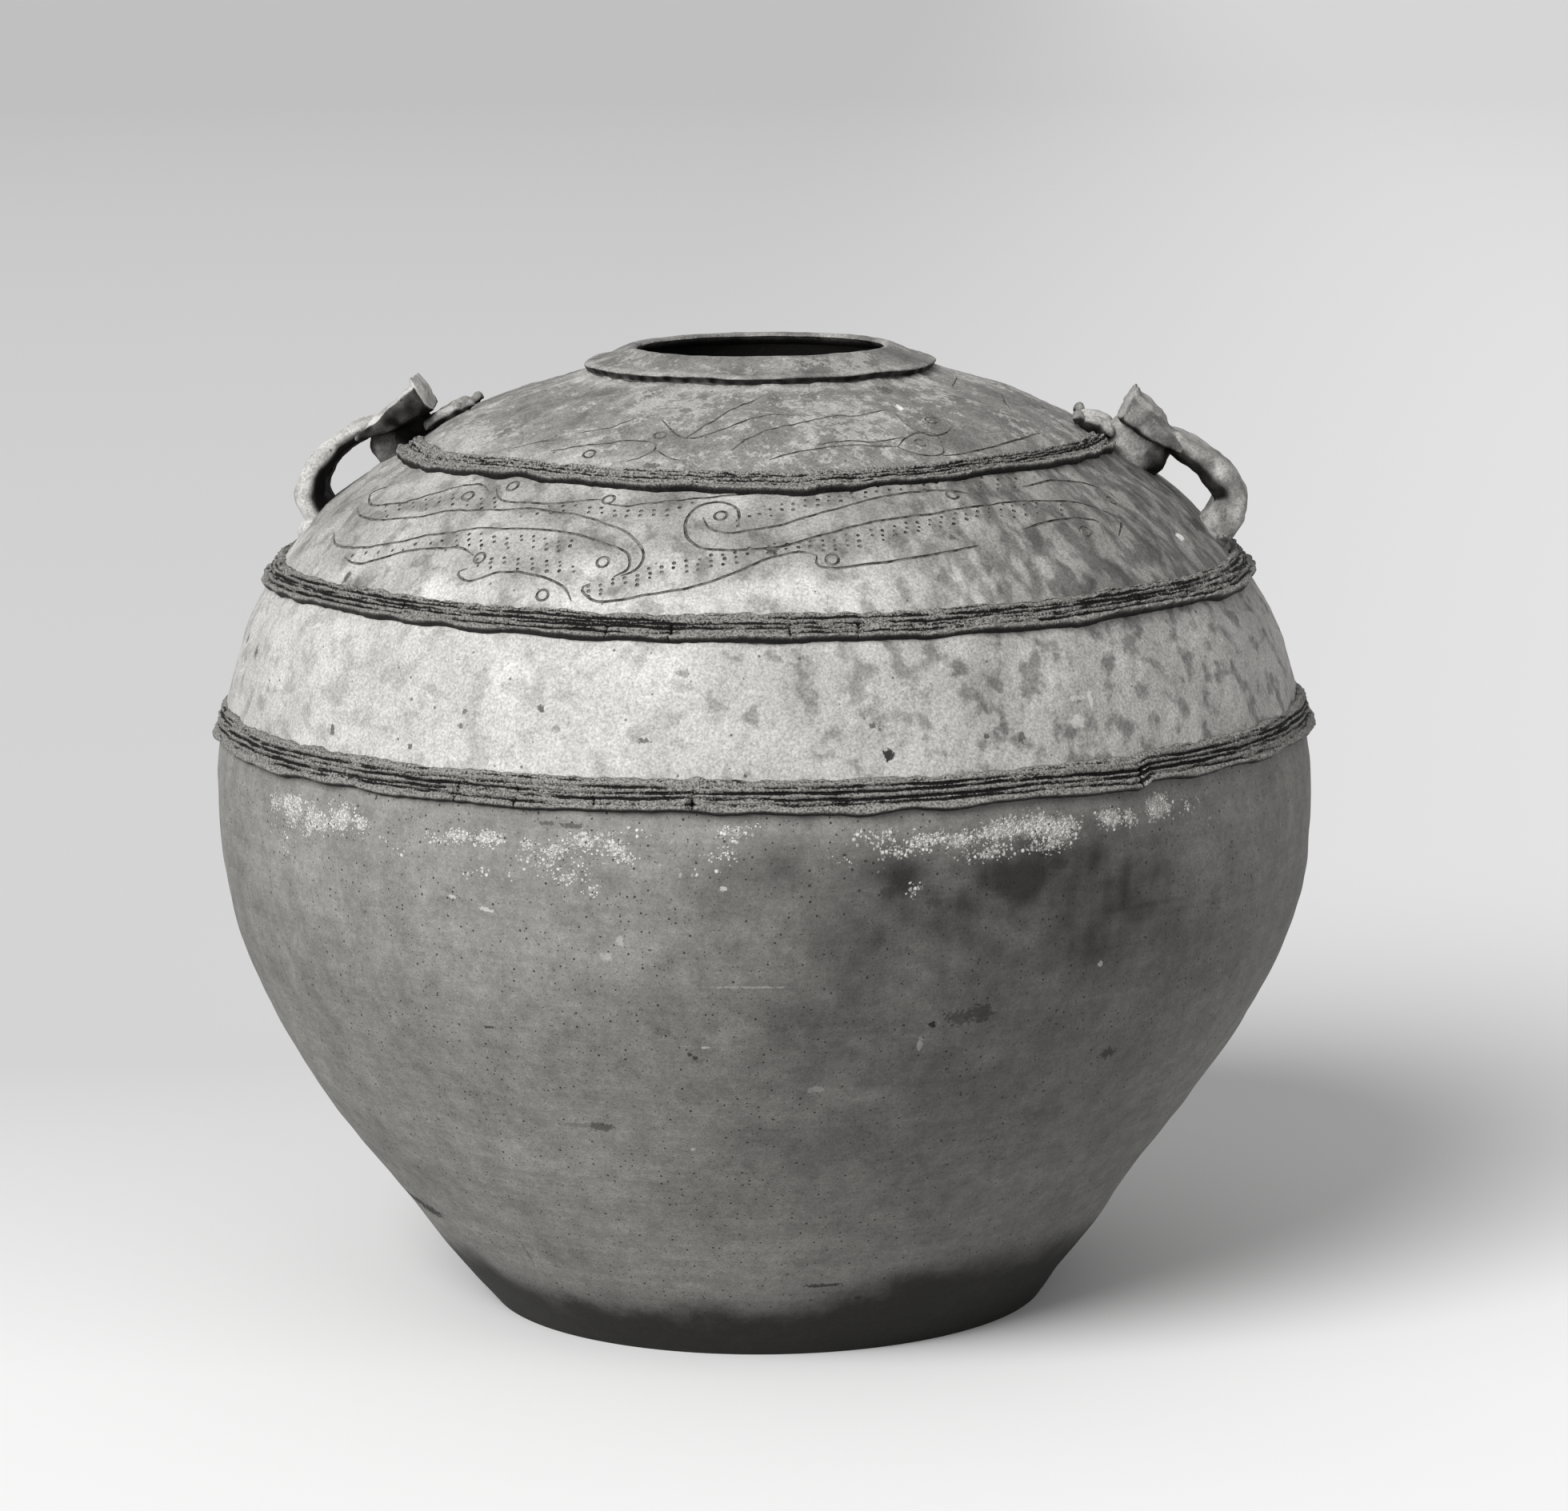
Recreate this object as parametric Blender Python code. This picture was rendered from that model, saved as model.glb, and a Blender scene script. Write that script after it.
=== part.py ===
"""Two-handled storage jar of high-fired stoneware, built in the pieces that its potter luted together.

The body is a base disc and four wall sections that meet in stepped joints. An applied ribbed cordon
covers each joint, and the upper cordon is two arcs that stop at the handles. A flat collar sits in the
crown's hole. Each handle is a strap with a mask plate, two horn scrolls, a root block and a foot pad.

The frame: metres, +Z up, the origin on the floor under the body's axis. The handles lie along X.
"""
import math

import bmesh
import bpy
import numpy as np
from mathutils import Matrix, Vector

# Body sizes, in metres
BODY_RADIUS = 0.180
BODY_HEIGHT = 0.3094
WALL = 0.0075
BASE_THICKNESS = 0.010
BASE_DISC_RADIUS = 0.080
JOINT_STEP = 0.004
SEAT_GAP = 0.0003

# Outer line of the body from the floor to the crown's hole and on over the hole,
# as shares of its height and its radius
BODY_OUTLINE_SHARES = (
    (0.000, 0.510), (0.036, 0.558), (0.145, 0.698), (0.233, 0.808), (0.320, 0.900),
    (0.407, 0.967), (0.494, 0.996), (0.569, 1.000), (0.653, 0.972), (0.721, 0.938),
    (0.792, 0.870), (0.850, 0.782), (0.902, 0.661), (0.944, 0.546), (0.966, 0.457),
    (0.983, 0.357), (1.000, 0.267), (1.010, 0.190),
)
LOWER_JOINT_SHARE = 0.633
MIDDLE_JOINT_SHARE = 0.790
UPPER_JOINT_SHARE = 0.914

# Cordon sizes
LOWER_CORDON_WIDTH = 0.0105
MIDDLE_CORDON_WIDTH = 0.0092
UPPER_CORDON_WIDTH = 0.0110
LOWER_CORDON_THICKNESS = 0.0027
MIDDLE_CORDON_THICKNESS = 0.0026
UPPER_CORDON_THICKNESS = 0.0019
CORDON_GROOVE = 0.0009
LOWER_CORDON_RIBS = 4
MIDDLE_CORDON_RIBS = 4
UPPER_CORDON_RIBS = 3

# Collar sizes
MOUTH_RADIUS = 0.0407
HOLE_MARGIN = 0.0074
COLLAR_RADIUS = 0.0574
COLLAR_RISE = 0.0052
LIP_THICKNESS = 0.0020
LIP_LIFT = 0.0011
LIP_UNDERCUT = 0.0030
MOUTH_EDGE = 0.0012
SPIGOT_DEPTH = 0.0090
BORE_FLARE = 0.0010

# Handle sizes
LEFT_HANDLE_SPAN = 0.0500
RIGHT_HANDLE_SPAN = 0.0430
LEFT_FOOT_RISE = 0.0060
RIGHT_FOOT_RISE = 0.0010
LOOP_RISE = 0.0165
STRAP_WIDTH = 0.0300
STRAP_THICKNESS = 0.0066
PLATE_WIDTH = 0.0340
PLATE_THICKNESS = 0.0098
PAD_MARGIN = 0.0040
PAD_THICKNESS = 0.0032
BLOCK_WIDTH = 0.0200
CORDON_END_GAP = 0.0040
HORN_SPACING = 0.0160
HORN_RADIUS = 0.0028
HORN_LENGTH = 0.0155
HORN_CURL = 0.0045
KNOB_RADIUS = 0.0036

# Centre line of a handle's strap and mask plate, from its foot to its head.
# Each row has the share of the chord from foot to head and the share of the loop's rise above it.
STRAP_LINE_SHARES = (
    (0.01, -0.18), (0.01, 0.24), (0.03, 0.54), (0.09, 0.75), (0.17, 0.89),
    (0.27, 0.98), (0.40, 1.00), (0.54, 0.95), (0.69, 0.88),
)
PLATE_LINE_SHARES = ((0.69, 0.88), (0.82, 0.85), (0.95, 0.83), (1.07, 0.84), (1.14, 0.88))
# Width and thickness along each line, as shares of the named width and thickness
STRAP_BREADTH_SHARES = ((1.10, 1.15), (1.02, 1.00), (0.96, 0.94), (0.95, 1.06), (1.00, 1.22))
PLATE_BREADTH_SHARES = ((0.88, 0.82), (0.96, 0.92), (1.02, 1.00), (0.96, 1.04), (0.70, 1.00))
# Section of the strap and the plate: shares of the half width and the half thickness
SLAB_SECTION_SHARES = (
    (-0.84, -1.00), (-1.00, -0.50), (-1.00, 0.45), (-0.80, 0.90), (-0.30, 1.00), (0.30, 1.00),
    (0.80, 0.90), (1.00, 0.45), (1.00, -0.50), (0.84, -1.00), (0.30, -0.92), (-0.30, -0.92),
)
# Side view of the root block: shares of the handle's chord and of its loop's rise
BLOCK_OUTLINE_SHARES = (
    (0.58, -0.15), (0.55, 0.16), (0.57, 0.48), (0.64, 0.92), (0.97, 0.88), (1.00, 0.40), (0.98, -0.30),
)
BLOCK_END_SHARE = 0.6
BLOCK_SWELL_SHARE = 0.16
HORN_START_SHARE = 0.03
HORN_REST_SHARE = 0.75
HORN_LIFT_SHARE = 0.90

TURN_STEPS = 56
LOWER_WALL_STEPS = 12
LOWER_LINING_STEPS = 6
BELLY_STEPS = 4
BELLY_LINING_STEPS = 2
SHOULDER_STEPS = 6
SHOULDER_LINING_STEPS = 3
CROWN_STEPS = 6
CROWN_LINING_STEPS = 4
COLLAR_SEAT_POINTS = 3
CURVE_STEPS = 24
STRAP_STEPS = 14
PLATE_STEPS = 10
HORN_STEPS = 9
HORN_SIDES = 8
PAD_SIDES = 16
SHARP_ANGLE = math.radians(38)


def clear_scene():
    """Remove what the scene holds."""
    for item in list(bpy.data.objects):
        bpy.data.objects.remove(item)


def smooth_line(knots, steps):
    """Points of a smooth curve through the knots, with the given steps between two knots."""
    knots = np.array(knots, dtype=float)
    lengths = np.linalg.norm(np.diff(knots, axis=0), axis=1)
    places = np.concatenate([[0.0], np.cumsum(lengths)])
    slopes = np.gradient(knots, places, axis=0)
    points = []
    for index in range(len(knots) - 1):
        span = lengths[index]
        for share in np.linspace(0.0, 1.0, steps, endpoint=False):
            square = share * share
            cube = square * share
            points.append(
                (2 * cube - 3 * square + 1) * knots[index]
                + (cube - 2 * square + share) * span * slopes[index]
                + (3 * square - 2 * cube) * knots[index + 1]
                + (cube - square) * span * slopes[index + 1]
            )
    points.append(knots[-1])
    return np.array(points)


def line_places(points):
    """Distance of each point from the start of its line."""
    return np.concatenate([[0.0], np.cumsum(np.linalg.norm(np.diff(points, axis=0), axis=1))])


def resampled(points, values, count):
    """Points, and the values carried by them, at equal distances along a line."""
    places = line_places(points)
    wanted = np.linspace(0.0, places[-1], count)
    new_points = np.column_stack([np.interp(wanted, places, column) for column in np.transpose(points)])
    new_values = np.column_stack([np.interp(wanted, places, column) for column in np.transpose(values)])
    return new_points, new_values


WALL_KNOTS = [(radius * BODY_RADIUS, height * BODY_HEIGHT) for height, radius in BODY_OUTLINE_SHARES]
WALL_LINE = smooth_line(WALL_KNOTS, CURVE_STEPS)
WALL_PLACES = line_places(WALL_LINE)
WALL_SLOPES = np.gradient(WALL_LINE, WALL_PLACES, axis=0)


def wall_frame(place):
    """Point of the outer line at a place along it, the way up the wall and the way out of it."""
    point = np.array([np.interp(place, WALL_PLACES, WALL_LINE[:, axis]) for axis in (0, 1)])
    up = np.array([np.interp(place, WALL_PLACES, WALL_SLOPES[:, axis]) for axis in (0, 1)])
    up = up / np.linalg.norm(up)
    return point, up, np.array([up[1], -up[0]])


def wall_point(place, depth):
    """Radius and height of a point under the outer line; a negative depth lies outside the wall."""
    point, _, out = wall_frame(place)
    return tuple(point - depth * out)


def place_at_height(height):
    """Place along the outer line that has the given height."""
    return float(np.interp(height, WALL_LINE[:, 1], WALL_PLACES))


def place_at_radius(radius):
    """Place along the shoulder and crown that has the given radius."""
    widest = int(np.argmax(WALL_LINE[:, 0]))
    return float(np.interp(-radius, -WALL_LINE[widest:, 0], WALL_PLACES[widest:]))


LOWER_JOINT = place_at_height(LOWER_JOINT_SHARE * BODY_HEIGHT)
MIDDLE_JOINT = place_at_height(MIDDLE_JOINT_SHARE * BODY_HEIGHT)
UPPER_JOINT = place_at_height(UPPER_JOINT_SHARE * BODY_HEIGHT)
CROWN_END = place_at_radius(MOUTH_RADIUS + HOLE_MARGIN)


def joint_edge(place, upper):
    """A stepped joint across the wall, from outside to inside, for the section above or below it."""
    gap = SEAT_GAP / 2 if upper else -SEAT_GAP / 2
    middle = WALL / 2 - gap
    return [(place + gap, 0.0), (place + gap, middle), (place + JOINT_STEP + gap, middle),
            (place + JOINT_STEP + gap, WALL)]


def section_outline(start, end, steps, lining_steps):
    """Outline of a wall section between two joints."""
    bottom = joint_edge(start, upper=True)
    top = joint_edge(end, upper=False)
    outside = [(place, 0.0) for place in np.linspace(bottom[0][0], top[0][0], steps + 1)]
    inside = [(place, WALL) for place in np.linspace(top[-1][0], bottom[-1][0], lining_steps + 1)]
    return [wall_point(*spot) for spot in outside + top[1:-1] + inside + bottom[-2:0:-1]]


def lower_wall_outline():
    """The lowest section stands on the floor around the base disc."""
    top = joint_edge(LOWER_JOINT, upper=False)
    outside = [wall_point(place, 0.0) for place in np.linspace(0.0, top[0][0], LOWER_WALL_STEPS + 1)]
    ledge = BASE_THICKNESS
    heights = [wall_point(place, WALL)[1] for place in WALL_PLACES]
    first_inside = float(np.interp(ledge, heights, WALL_PLACES))
    places = np.linspace(top[-1][0], first_inside, LOWER_LINING_STEPS + 1)
    inside = [wall_point(place, WALL) for place in places]
    socket = BASE_DISC_RADIUS + SEAT_GAP
    return outside + [wall_point(*spot) for spot in top[1:-1]] + inside + [(socket, ledge), (socket, 0.0)]


def crown_outline():
    """The top section ends square at the crown's hole."""
    bottom = joint_edge(UPPER_JOINT, upper=True)
    outside = [(place, 0.0) for place in np.linspace(bottom[0][0], CROWN_END, CROWN_STEPS + 1)]
    inside = [(place, WALL) for place in np.linspace(CROWN_END, bottom[-1][0], CROWN_LINING_STEPS + 1)]
    return [wall_point(*spot) for spot in outside + inside + bottom[-2:0:-1]]


def collar_outline():
    """The collar lies on the crown around its hole, and its spigot hangs in the hole."""
    crown_top = wall_point(CROWN_END, 0.0)
    spigot_radius = wall_point(CROWN_END, WALL)[0] - SEAT_GAP
    mouth_height = crown_top[1] + COLLAR_RISE
    under_lip = wall_point(place_at_radius(COLLAR_RADIUS), 0.0)[1] + LIP_LIFT
    seat_start = place_at_radius(COLLAR_RADIUS - LIP_UNDERCUT)
    seat_places = np.linspace(seat_start, CROWN_END, COLLAR_SEAT_POINTS)
    seat = [wall_point(place, -SEAT_GAP) for place in seat_places]
    spigot_foot = crown_top[1] - SPIGOT_DEPTH
    return [
        (MOUTH_RADIUS + BORE_FLARE, spigot_foot),
        (MOUTH_RADIUS, mouth_height - MOUTH_EDGE),
        (MOUTH_RADIUS + MOUTH_EDGE / 2, mouth_height),
        (COLLAR_RADIUS - LIP_THICKNESS / 2, under_lip + LIP_THICKNESS),
        (COLLAR_RADIUS, under_lip + LIP_THICKNESS / 2),
        (COLLAR_RADIUS - LIP_THICKNESS / 2, under_lip),
        *seat,
        (spigot_radius, seat[-1][1]),
        (spigot_radius, spigot_foot),
    ]


def cordon_outline(joint, width, thickness, ribs):
    """A ribbed strip on the wall over a joint: flat towards the wall, combed on the outside."""
    start = joint - width / 2
    inside = [(start + share * width, -SEAT_GAP) for share in (0.0, 0.5, 1.0)]
    outside = []
    for index in range(2 * ribs, -1, -1):
        depth = SEAT_GAP + thickness - (0.0 if index % 2 else CORDON_GROOVE)
        outside.append((start + index * width / (2 * ribs), -depth))
    return [wall_point(*spot) for spot in inside + outside]


def material(name, colour, roughness):
    """A plain fired-clay finish."""
    made = bpy.data.materials.new(name)
    made.use_nodes = True
    shader = made.node_tree.nodes["Principled BSDF"]
    shader.inputs["Base Color"].default_value = (*colour, 1.0)
    shader.inputs["Roughness"].default_value = roughness
    shader.inputs["Metallic"].default_value = 0.0
    made.diffuse_color = (*colour, 1.0)
    return made


def add_object(name, shape, finish):
    """Turn a bmesh into a smooth-shaded object with sharp corners kept."""
    shape.normal_update()
    bmesh.ops.recalc_face_normals(shape, faces=shape.faces)
    mesh = bpy.data.meshes.new(name)
    shape.to_mesh(mesh)
    shape.free()
    mesh.shade_smooth()
    mesh.set_sharp_from_angle(angle=SHARP_ANGLE)
    made = bpy.data.objects.new(name, mesh)
    bpy.context.scene.collection.objects.link(made)
    if finish:
        mesh.materials.append(finish)
    return made


def turned_shape(outline):
    """A closed outline of radius and height turned once about the body's axis."""
    shape = bmesh.new()
    corners = [shape.verts.new((radius, 0.0, height)) for radius, height in outline]
    edges = [shape.edges.new((corners[index - 1], corners[index])) for index in range(len(corners))]
    bmesh.ops.spin(
        shape, geom=corners + edges, cent=(0, 0, 0), axis=(0, 0, 1),
        angle=2 * math.pi, steps=TURN_STEPS, use_merge=True,
    )
    return shape


def keep_side(shape, distance, side):
    """Keep the part of a ring that lies further out along one side of Y, and close its cut ends."""
    bmesh.ops.bisect_plane(
        shape, geom=shape.verts[:] + shape.edges[:] + shape.faces[:],
        plane_co=(0, side * distance, 0), plane_no=(0, -side, 0), clear_outer=True,
    )
    open_edges = [edge for edge in shape.edges if edge.is_boundary]
    bmesh.ops.holes_fill(shape, edges=open_edges)
    return shape


def lofted_shape(rings):
    """A closed skin over rings of points, with a face on each end."""
    shape = bmesh.new()
    loops = [[shape.verts.new(point) for point in ring] for ring in rings]
    count = len(loops[0])
    for lower, upper in zip(loops, loops[1:]):
        for index in range(count):
            after = (index + 1) % count
            shape.faces.new((lower[index], lower[after], upper[after], upper[index]))
    shape.faces.new(loops[0])
    shape.faces.new(loops[-1])
    return shape


def make_cutter(name, shape):
    """A shape that other objects are cut with."""
    cutter = add_object(name, shape, None)
    cutter.hide_render = True
    cutter.display_type = "WIRE"
    return cutter


def cut(target, *cutters):
    """Cut the target with each cutter in turn."""
    for cutter in cutters:
        modifier = target.modifiers.new("cut_" + cutter.name, "BOOLEAN")
        modifier.operation = "DIFFERENCE"
        modifier.solver = "EXACT"
        modifier.object = cutter


PAD_WIDTH = STRAP_WIDTH * STRAP_BREADTH_SHARES[0][0] + 2 * PAD_MARGIN
PAD_LENGTH = STRAP_THICKNESS * STRAP_BREADTH_SHARES[0][1] + 2 * PAD_MARGIN


class Handle:
    """Places of one handle: its chord runs up the wall from its foot to its head."""

    def __init__(self, side, foot_rise, span):
        self.side = side
        self.foot_place = MIDDLE_JOINT + MIDDLE_CORDON_WIDTH / 2 + foot_rise + PAD_LENGTH / 2
        self.head_place = self.foot_place + span
        self.horn_place = self.head_place + HORN_START_SHARE * span
        self.foot = wall_frame(self.foot_place)[0]
        head = wall_frame(self.head_place)[0]
        self.chord = head - self.foot
        along = self.chord / np.linalg.norm(self.chord)
        self.out = np.array([along[1], -along[0]])

    def spot(self, chord_share, rise_share):
        """Radius and height of a point given by its shares of the chord and of the loop's rise."""
        return self.foot + chord_share * self.chord + rise_share * LOOP_RISE * self.out

    def point(self, spot, sideways):
        """Point in space of a radius and height on this handle's side."""
        return Vector((self.side * spot[0], sideways, spot[1]))


def slab_rings(handle, line_shares, breadth_shares, width, thickness, steps, grow):
    """Rings of points along a strap or plate, swollen by grow all round."""
    line = smooth_line([handle.spot(*share) for share in line_shares], CURVE_STEPS)
    knots = np.linspace(0.0, 1.0, len(breadth_shares))
    ways = np.linspace(0.0, 1.0, len(line))
    breadths = np.column_stack([np.interp(ways, knots, column) for column in np.transpose(breadth_shares)])
    points, breadths = resampled(line, breadths, steps)
    ways = np.gradient(points, axis=0)
    ways = ways / np.linalg.norm(ways, axis=1)[:, None]
    points[0] = points[0] - grow * ways[0]
    points[-1] = points[-1] + grow * ways[-1]
    rings = []
    for point, way, (width_share, thickness_share) in zip(points, ways, breadths):
        out = np.array([way[1], -way[0]])
        half_width = width_share * width / 2 + grow
        half_thickness = thickness_share * thickness / 2 + grow
        ring = []
        for across, through in SLAB_SECTION_SHARES:
            ring.append(handle.point(point + through * half_thickness * out, across * half_width))
        rings.append(ring)
    return rings


def strap_shape(handle, grow=0.0):
    """The strap rises from its foot and bends over to the mask plate."""
    return lofted_shape(slab_rings(
        handle, STRAP_LINE_SHARES, STRAP_BREADTH_SHARES, STRAP_WIDTH, STRAP_THICKNESS, STRAP_STEPS, grow))


def plate_shape(handle, grow=0.0):
    """The mask plate carries on from the strap and stands over the shoulder with a thick crest."""
    return lofted_shape(slab_rings(
        handle, PLATE_LINE_SHARES, PLATE_BREADTH_SHARES, PLATE_WIDTH, PLATE_THICKNESS, PLATE_STEPS, grow))


def pad_shape(handle, grow=0.0):
    """A flat oval of clay on the wall under the strap's foot."""
    point, up, out = wall_frame(handle.foot_place)
    shape = bmesh.new()
    bmesh.ops.create_uvsphere(shape, u_segments=PAD_SIDES, v_segments=PAD_SIDES // 2, radius=1.0)
    sizes = Vector((PAD_LENGTH / 2 + grow, PAD_WIDTH / 2 + grow, PAD_THICKNESS + grow))
    turn = Matrix((
        (handle.side * up[0], 0.0, handle.side * out[0]),
        (0.0, 1.0, 0.0),
        (up[1], 0.0, out[1]),
    ))
    for corner in shape.verts:
        corner.co = turn @ Vector([size * share for size, share in zip(sizes, corner.co)])
        corner.co += handle.point(point, 0.0)
    return shape


def block_shape(handle):
    """A wad of clay that fills the space between the mask plate and the shoulder."""
    outline = np.array([handle.spot(*share) for share in BLOCK_OUTLINE_SHARES])
    middle = outline.mean(axis=0)
    rings = []
    for share in (-1.0, -BLOCK_END_SHARE, BLOCK_END_SHARE, 1.0):
        size = 1.0 if abs(share) < 1.0 else 1.0 - BLOCK_SWELL_SHARE
        ring = [handle.point(middle + size * (spot - middle), share * BLOCK_WIDTH / 2) for spot in outline]
        rings.append(ring)
    return lofted_shape(rings)


def horn_line(handle, back):
    """Centre line of a horn scroll: it comes off the plate's end and curls outwards on the shoulder."""
    line = []
    for share in np.linspace(0.0, 1.0, HORN_STEPS):
        lift = HORN_RADIUS * (HORN_REST_SHARE + HORN_LIFT_SHARE * (1.0 - share) ** 2)
        spot = wall_point(handle.horn_place + HORN_LENGTH * share, -lift)
        sideways = back * (HORN_SPACING / 2 + HORN_CURL * share ** 3)
        line.append(handle.point(spot, sideways))
    return line


def horn_shape(handle, back):
    """A round coil that swells to a knob at its inner end."""
    line = horn_line(handle, back)
    rings = []
    for index, point in enumerate(line):
        before = line[max(index - 1, 0)]
        after = line[min(index + 1, len(line) - 1)]
        way = (after - before).normalized()
        side = way.cross(Vector((0, 0, 1))).normalized()
        top = side.cross(way)
        share = index / (len(line) - 1)
        radius = HORN_RADIUS + (KNOB_RADIUS - HORN_RADIUS) * share ** 3
        ring = []
        for step in range(HORN_SIDES):
            angle = 2 * math.pi * step / HORN_SIDES
            ring.append(point + radius * (math.cos(angle) * side + math.sin(angle) * top))
        rings.append(ring)
    tip_way = (line[-1] - line[-2]).normalized()
    tip = [line[-1] + KNOB_RADIUS / 2 * tip_way + (corner - line[-1]) / 2 for corner in rings[-1]]
    return lofted_shape(rings + [tip])


def build_body(glazed, bare):
    """The base disc, the four wall sections and the collar."""
    disc = bmesh.new()
    bmesh.ops.create_cone(
        disc, cap_ends=True, segments=TURN_STEPS, radius1=BASE_DISC_RADIUS,
        radius2=BASE_DISC_RADIUS, depth=BASE_THICKNESS,
        matrix=Matrix.Translation((0, 0, BASE_THICKNESS / 2)),
    )
    add_object("base_disc", disc, bare)
    belly = section_outline(LOWER_JOINT, MIDDLE_JOINT, BELLY_STEPS, BELLY_LINING_STEPS)
    shoulder = section_outline(MIDDLE_JOINT, UPPER_JOINT, SHOULDER_STEPS, SHOULDER_LINING_STEPS)
    add_object("lower_wall", turned_shape(lower_wall_outline()), bare)
    add_object("belly_ring", turned_shape(belly), glazed)
    add_object("shoulder_ring", turned_shape(shoulder), glazed)
    add_object("crown_dome", turned_shape(crown_outline()), glazed)
    add_object("mouth_collar", turned_shape(collar_outline()), glazed)


def build_cordons(finish):
    """Two whole cordons, and the upper one in a front and a back arc between the handles."""
    lower = cordon_outline(LOWER_JOINT, LOWER_CORDON_WIDTH, LOWER_CORDON_THICKNESS, LOWER_CORDON_RIBS)
    middle = cordon_outline(MIDDLE_JOINT, MIDDLE_CORDON_WIDTH, MIDDLE_CORDON_THICKNESS, MIDDLE_CORDON_RIBS)
    upper = cordon_outline(UPPER_JOINT, UPPER_CORDON_WIDTH, UPPER_CORDON_THICKNESS, UPPER_CORDON_RIBS)
    add_object("lower_cordon", turned_shape(lower), finish)
    add_object("middle_cordon", turned_shape(middle), finish)
    stop = BLOCK_WIDTH / 2 + CORDON_END_GAP
    add_object("upper_cordon_front", keep_side(turned_shape(upper), stop, -1), finish)
    add_object("upper_cordon_back", keep_side(turned_shape(upper), stop, 1), finish)


def shoulder_cutter():
    """The outer faces of the shoulder and the crown with the seat gap on them."""
    shoulder = np.linspace(MIDDLE_JOINT + SEAT_GAP / 2, UPPER_JOINT - SEAT_GAP / 2, SHOULDER_STEPS + 1)
    crown = np.linspace(UPPER_JOINT + SEAT_GAP / 2, CROWN_END, CROWN_STEPS + 1)
    places = list(shoulder) + list(crown)
    outside = [wall_point(place, -SEAT_GAP) for place in places]
    inside = [wall_point(place, WALL) for place in reversed(places)]
    return make_cutter("shoulder_cutter", turned_shape(outside + inside))


def build_handle(label, handle, glazed, wall_cutter):
    """One handle's six pieces, each cut back from what it sits on."""
    pad_cutter = make_cutter(label + "_pad_cutter", pad_shape(handle, SEAT_GAP))
    strap_cutter = make_cutter(label + "_strap_cutter", strap_shape(handle, SEAT_GAP))
    plate_cutter = make_cutter(label + "_plate_cutter", plate_shape(handle, SEAT_GAP))
    cut(add_object(label + "_handle_pad", pad_shape(handle), glazed), wall_cutter)
    strap = add_object(label + "_handle_strap", strap_shape(handle), glazed)
    cut(strap, plate_cutter, pad_cutter, wall_cutter)
    add_object(label + "_mask_plate", plate_shape(handle), glazed)
    block = add_object(label + "_root_block", block_shape(handle), glazed)
    cut(block, plate_cutter, strap_cutter, wall_cutter)
    for name, back in (("front", -1), ("back", 1)):
        horn = add_object(label + "_horn_" + name, horn_shape(handle, back), glazed)
        cut(horn, plate_cutter, wall_cutter)


def main():
    """Build the jar."""
    clear_scene()
    glazed = material("ash_glazed_stoneware", (0.40, 0.39, 0.35), 0.50)
    bare = material("bare_stoneware", (0.16, 0.15, 0.14), 0.75)
    ribbed = material("ribbed_cordon_clay", (0.10, 0.10, 0.09), 0.60)
    build_body(glazed, bare)
    build_cordons(ribbed)
    wall_cutter = shoulder_cutter()
    left = Handle(-1, LEFT_FOOT_RISE, LEFT_HANDLE_SPAN)
    right = Handle(1, RIGHT_FOOT_RISE, RIGHT_HANDLE_SPAN)
    build_handle("left", left, glazed, wall_cutter)
    build_handle("right", right, glazed, wall_cutter)


main()
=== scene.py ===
"""Looks of the two-handled storage jar: a coil-built wall with natural ash glaze on its upper part,
combed cordons, incised scrolls on the shoulder, and strap handles with animal masks."""
import math

import bpy
import numpy as np
from mathutils import Matrix, Vector


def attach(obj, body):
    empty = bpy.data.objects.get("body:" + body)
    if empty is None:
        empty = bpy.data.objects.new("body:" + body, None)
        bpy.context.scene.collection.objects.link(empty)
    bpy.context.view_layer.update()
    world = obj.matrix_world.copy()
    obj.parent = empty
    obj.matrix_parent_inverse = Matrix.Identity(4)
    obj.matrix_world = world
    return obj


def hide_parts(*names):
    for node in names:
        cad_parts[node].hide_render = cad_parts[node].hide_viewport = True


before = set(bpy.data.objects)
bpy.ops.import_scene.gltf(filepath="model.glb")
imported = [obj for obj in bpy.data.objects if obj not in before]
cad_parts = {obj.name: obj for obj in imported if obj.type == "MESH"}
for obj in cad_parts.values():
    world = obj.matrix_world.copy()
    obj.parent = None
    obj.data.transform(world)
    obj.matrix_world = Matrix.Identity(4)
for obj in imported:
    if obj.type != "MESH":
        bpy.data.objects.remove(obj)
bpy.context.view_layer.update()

# Body sizes, in metres, as in the part's source
BODY_RADIUS = 0.180
BODY_HEIGHT = 0.3094
WALL = 0.0075
BASE_THICKNESS = 0.010
BASE_DISC_RADIUS = 0.080
JOINT_STEP = 0.004
SEAT_GAP = 0.0003
BODY_OUTLINE_SHARES = (
    (0.0, 0.51), (0.036, 0.558), (0.145, 0.698), (0.233, 0.808), (0.32, 0.9), (0.407, 0.967),
    (0.494, 0.996), (0.569, 1.0), (0.653, 0.972), (0.721, 0.938), (0.792, 0.87), (0.85, 0.782),
    (0.902, 0.661), (0.944, 0.546), (0.966, 0.457), (0.983, 0.357), (1.0, 0.267), (1.01, 0.19),
)
LOWER_JOINT_SHARE = 0.633
MIDDLE_JOINT_SHARE = 0.790
UPPER_JOINT_SHARE = 0.914

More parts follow.
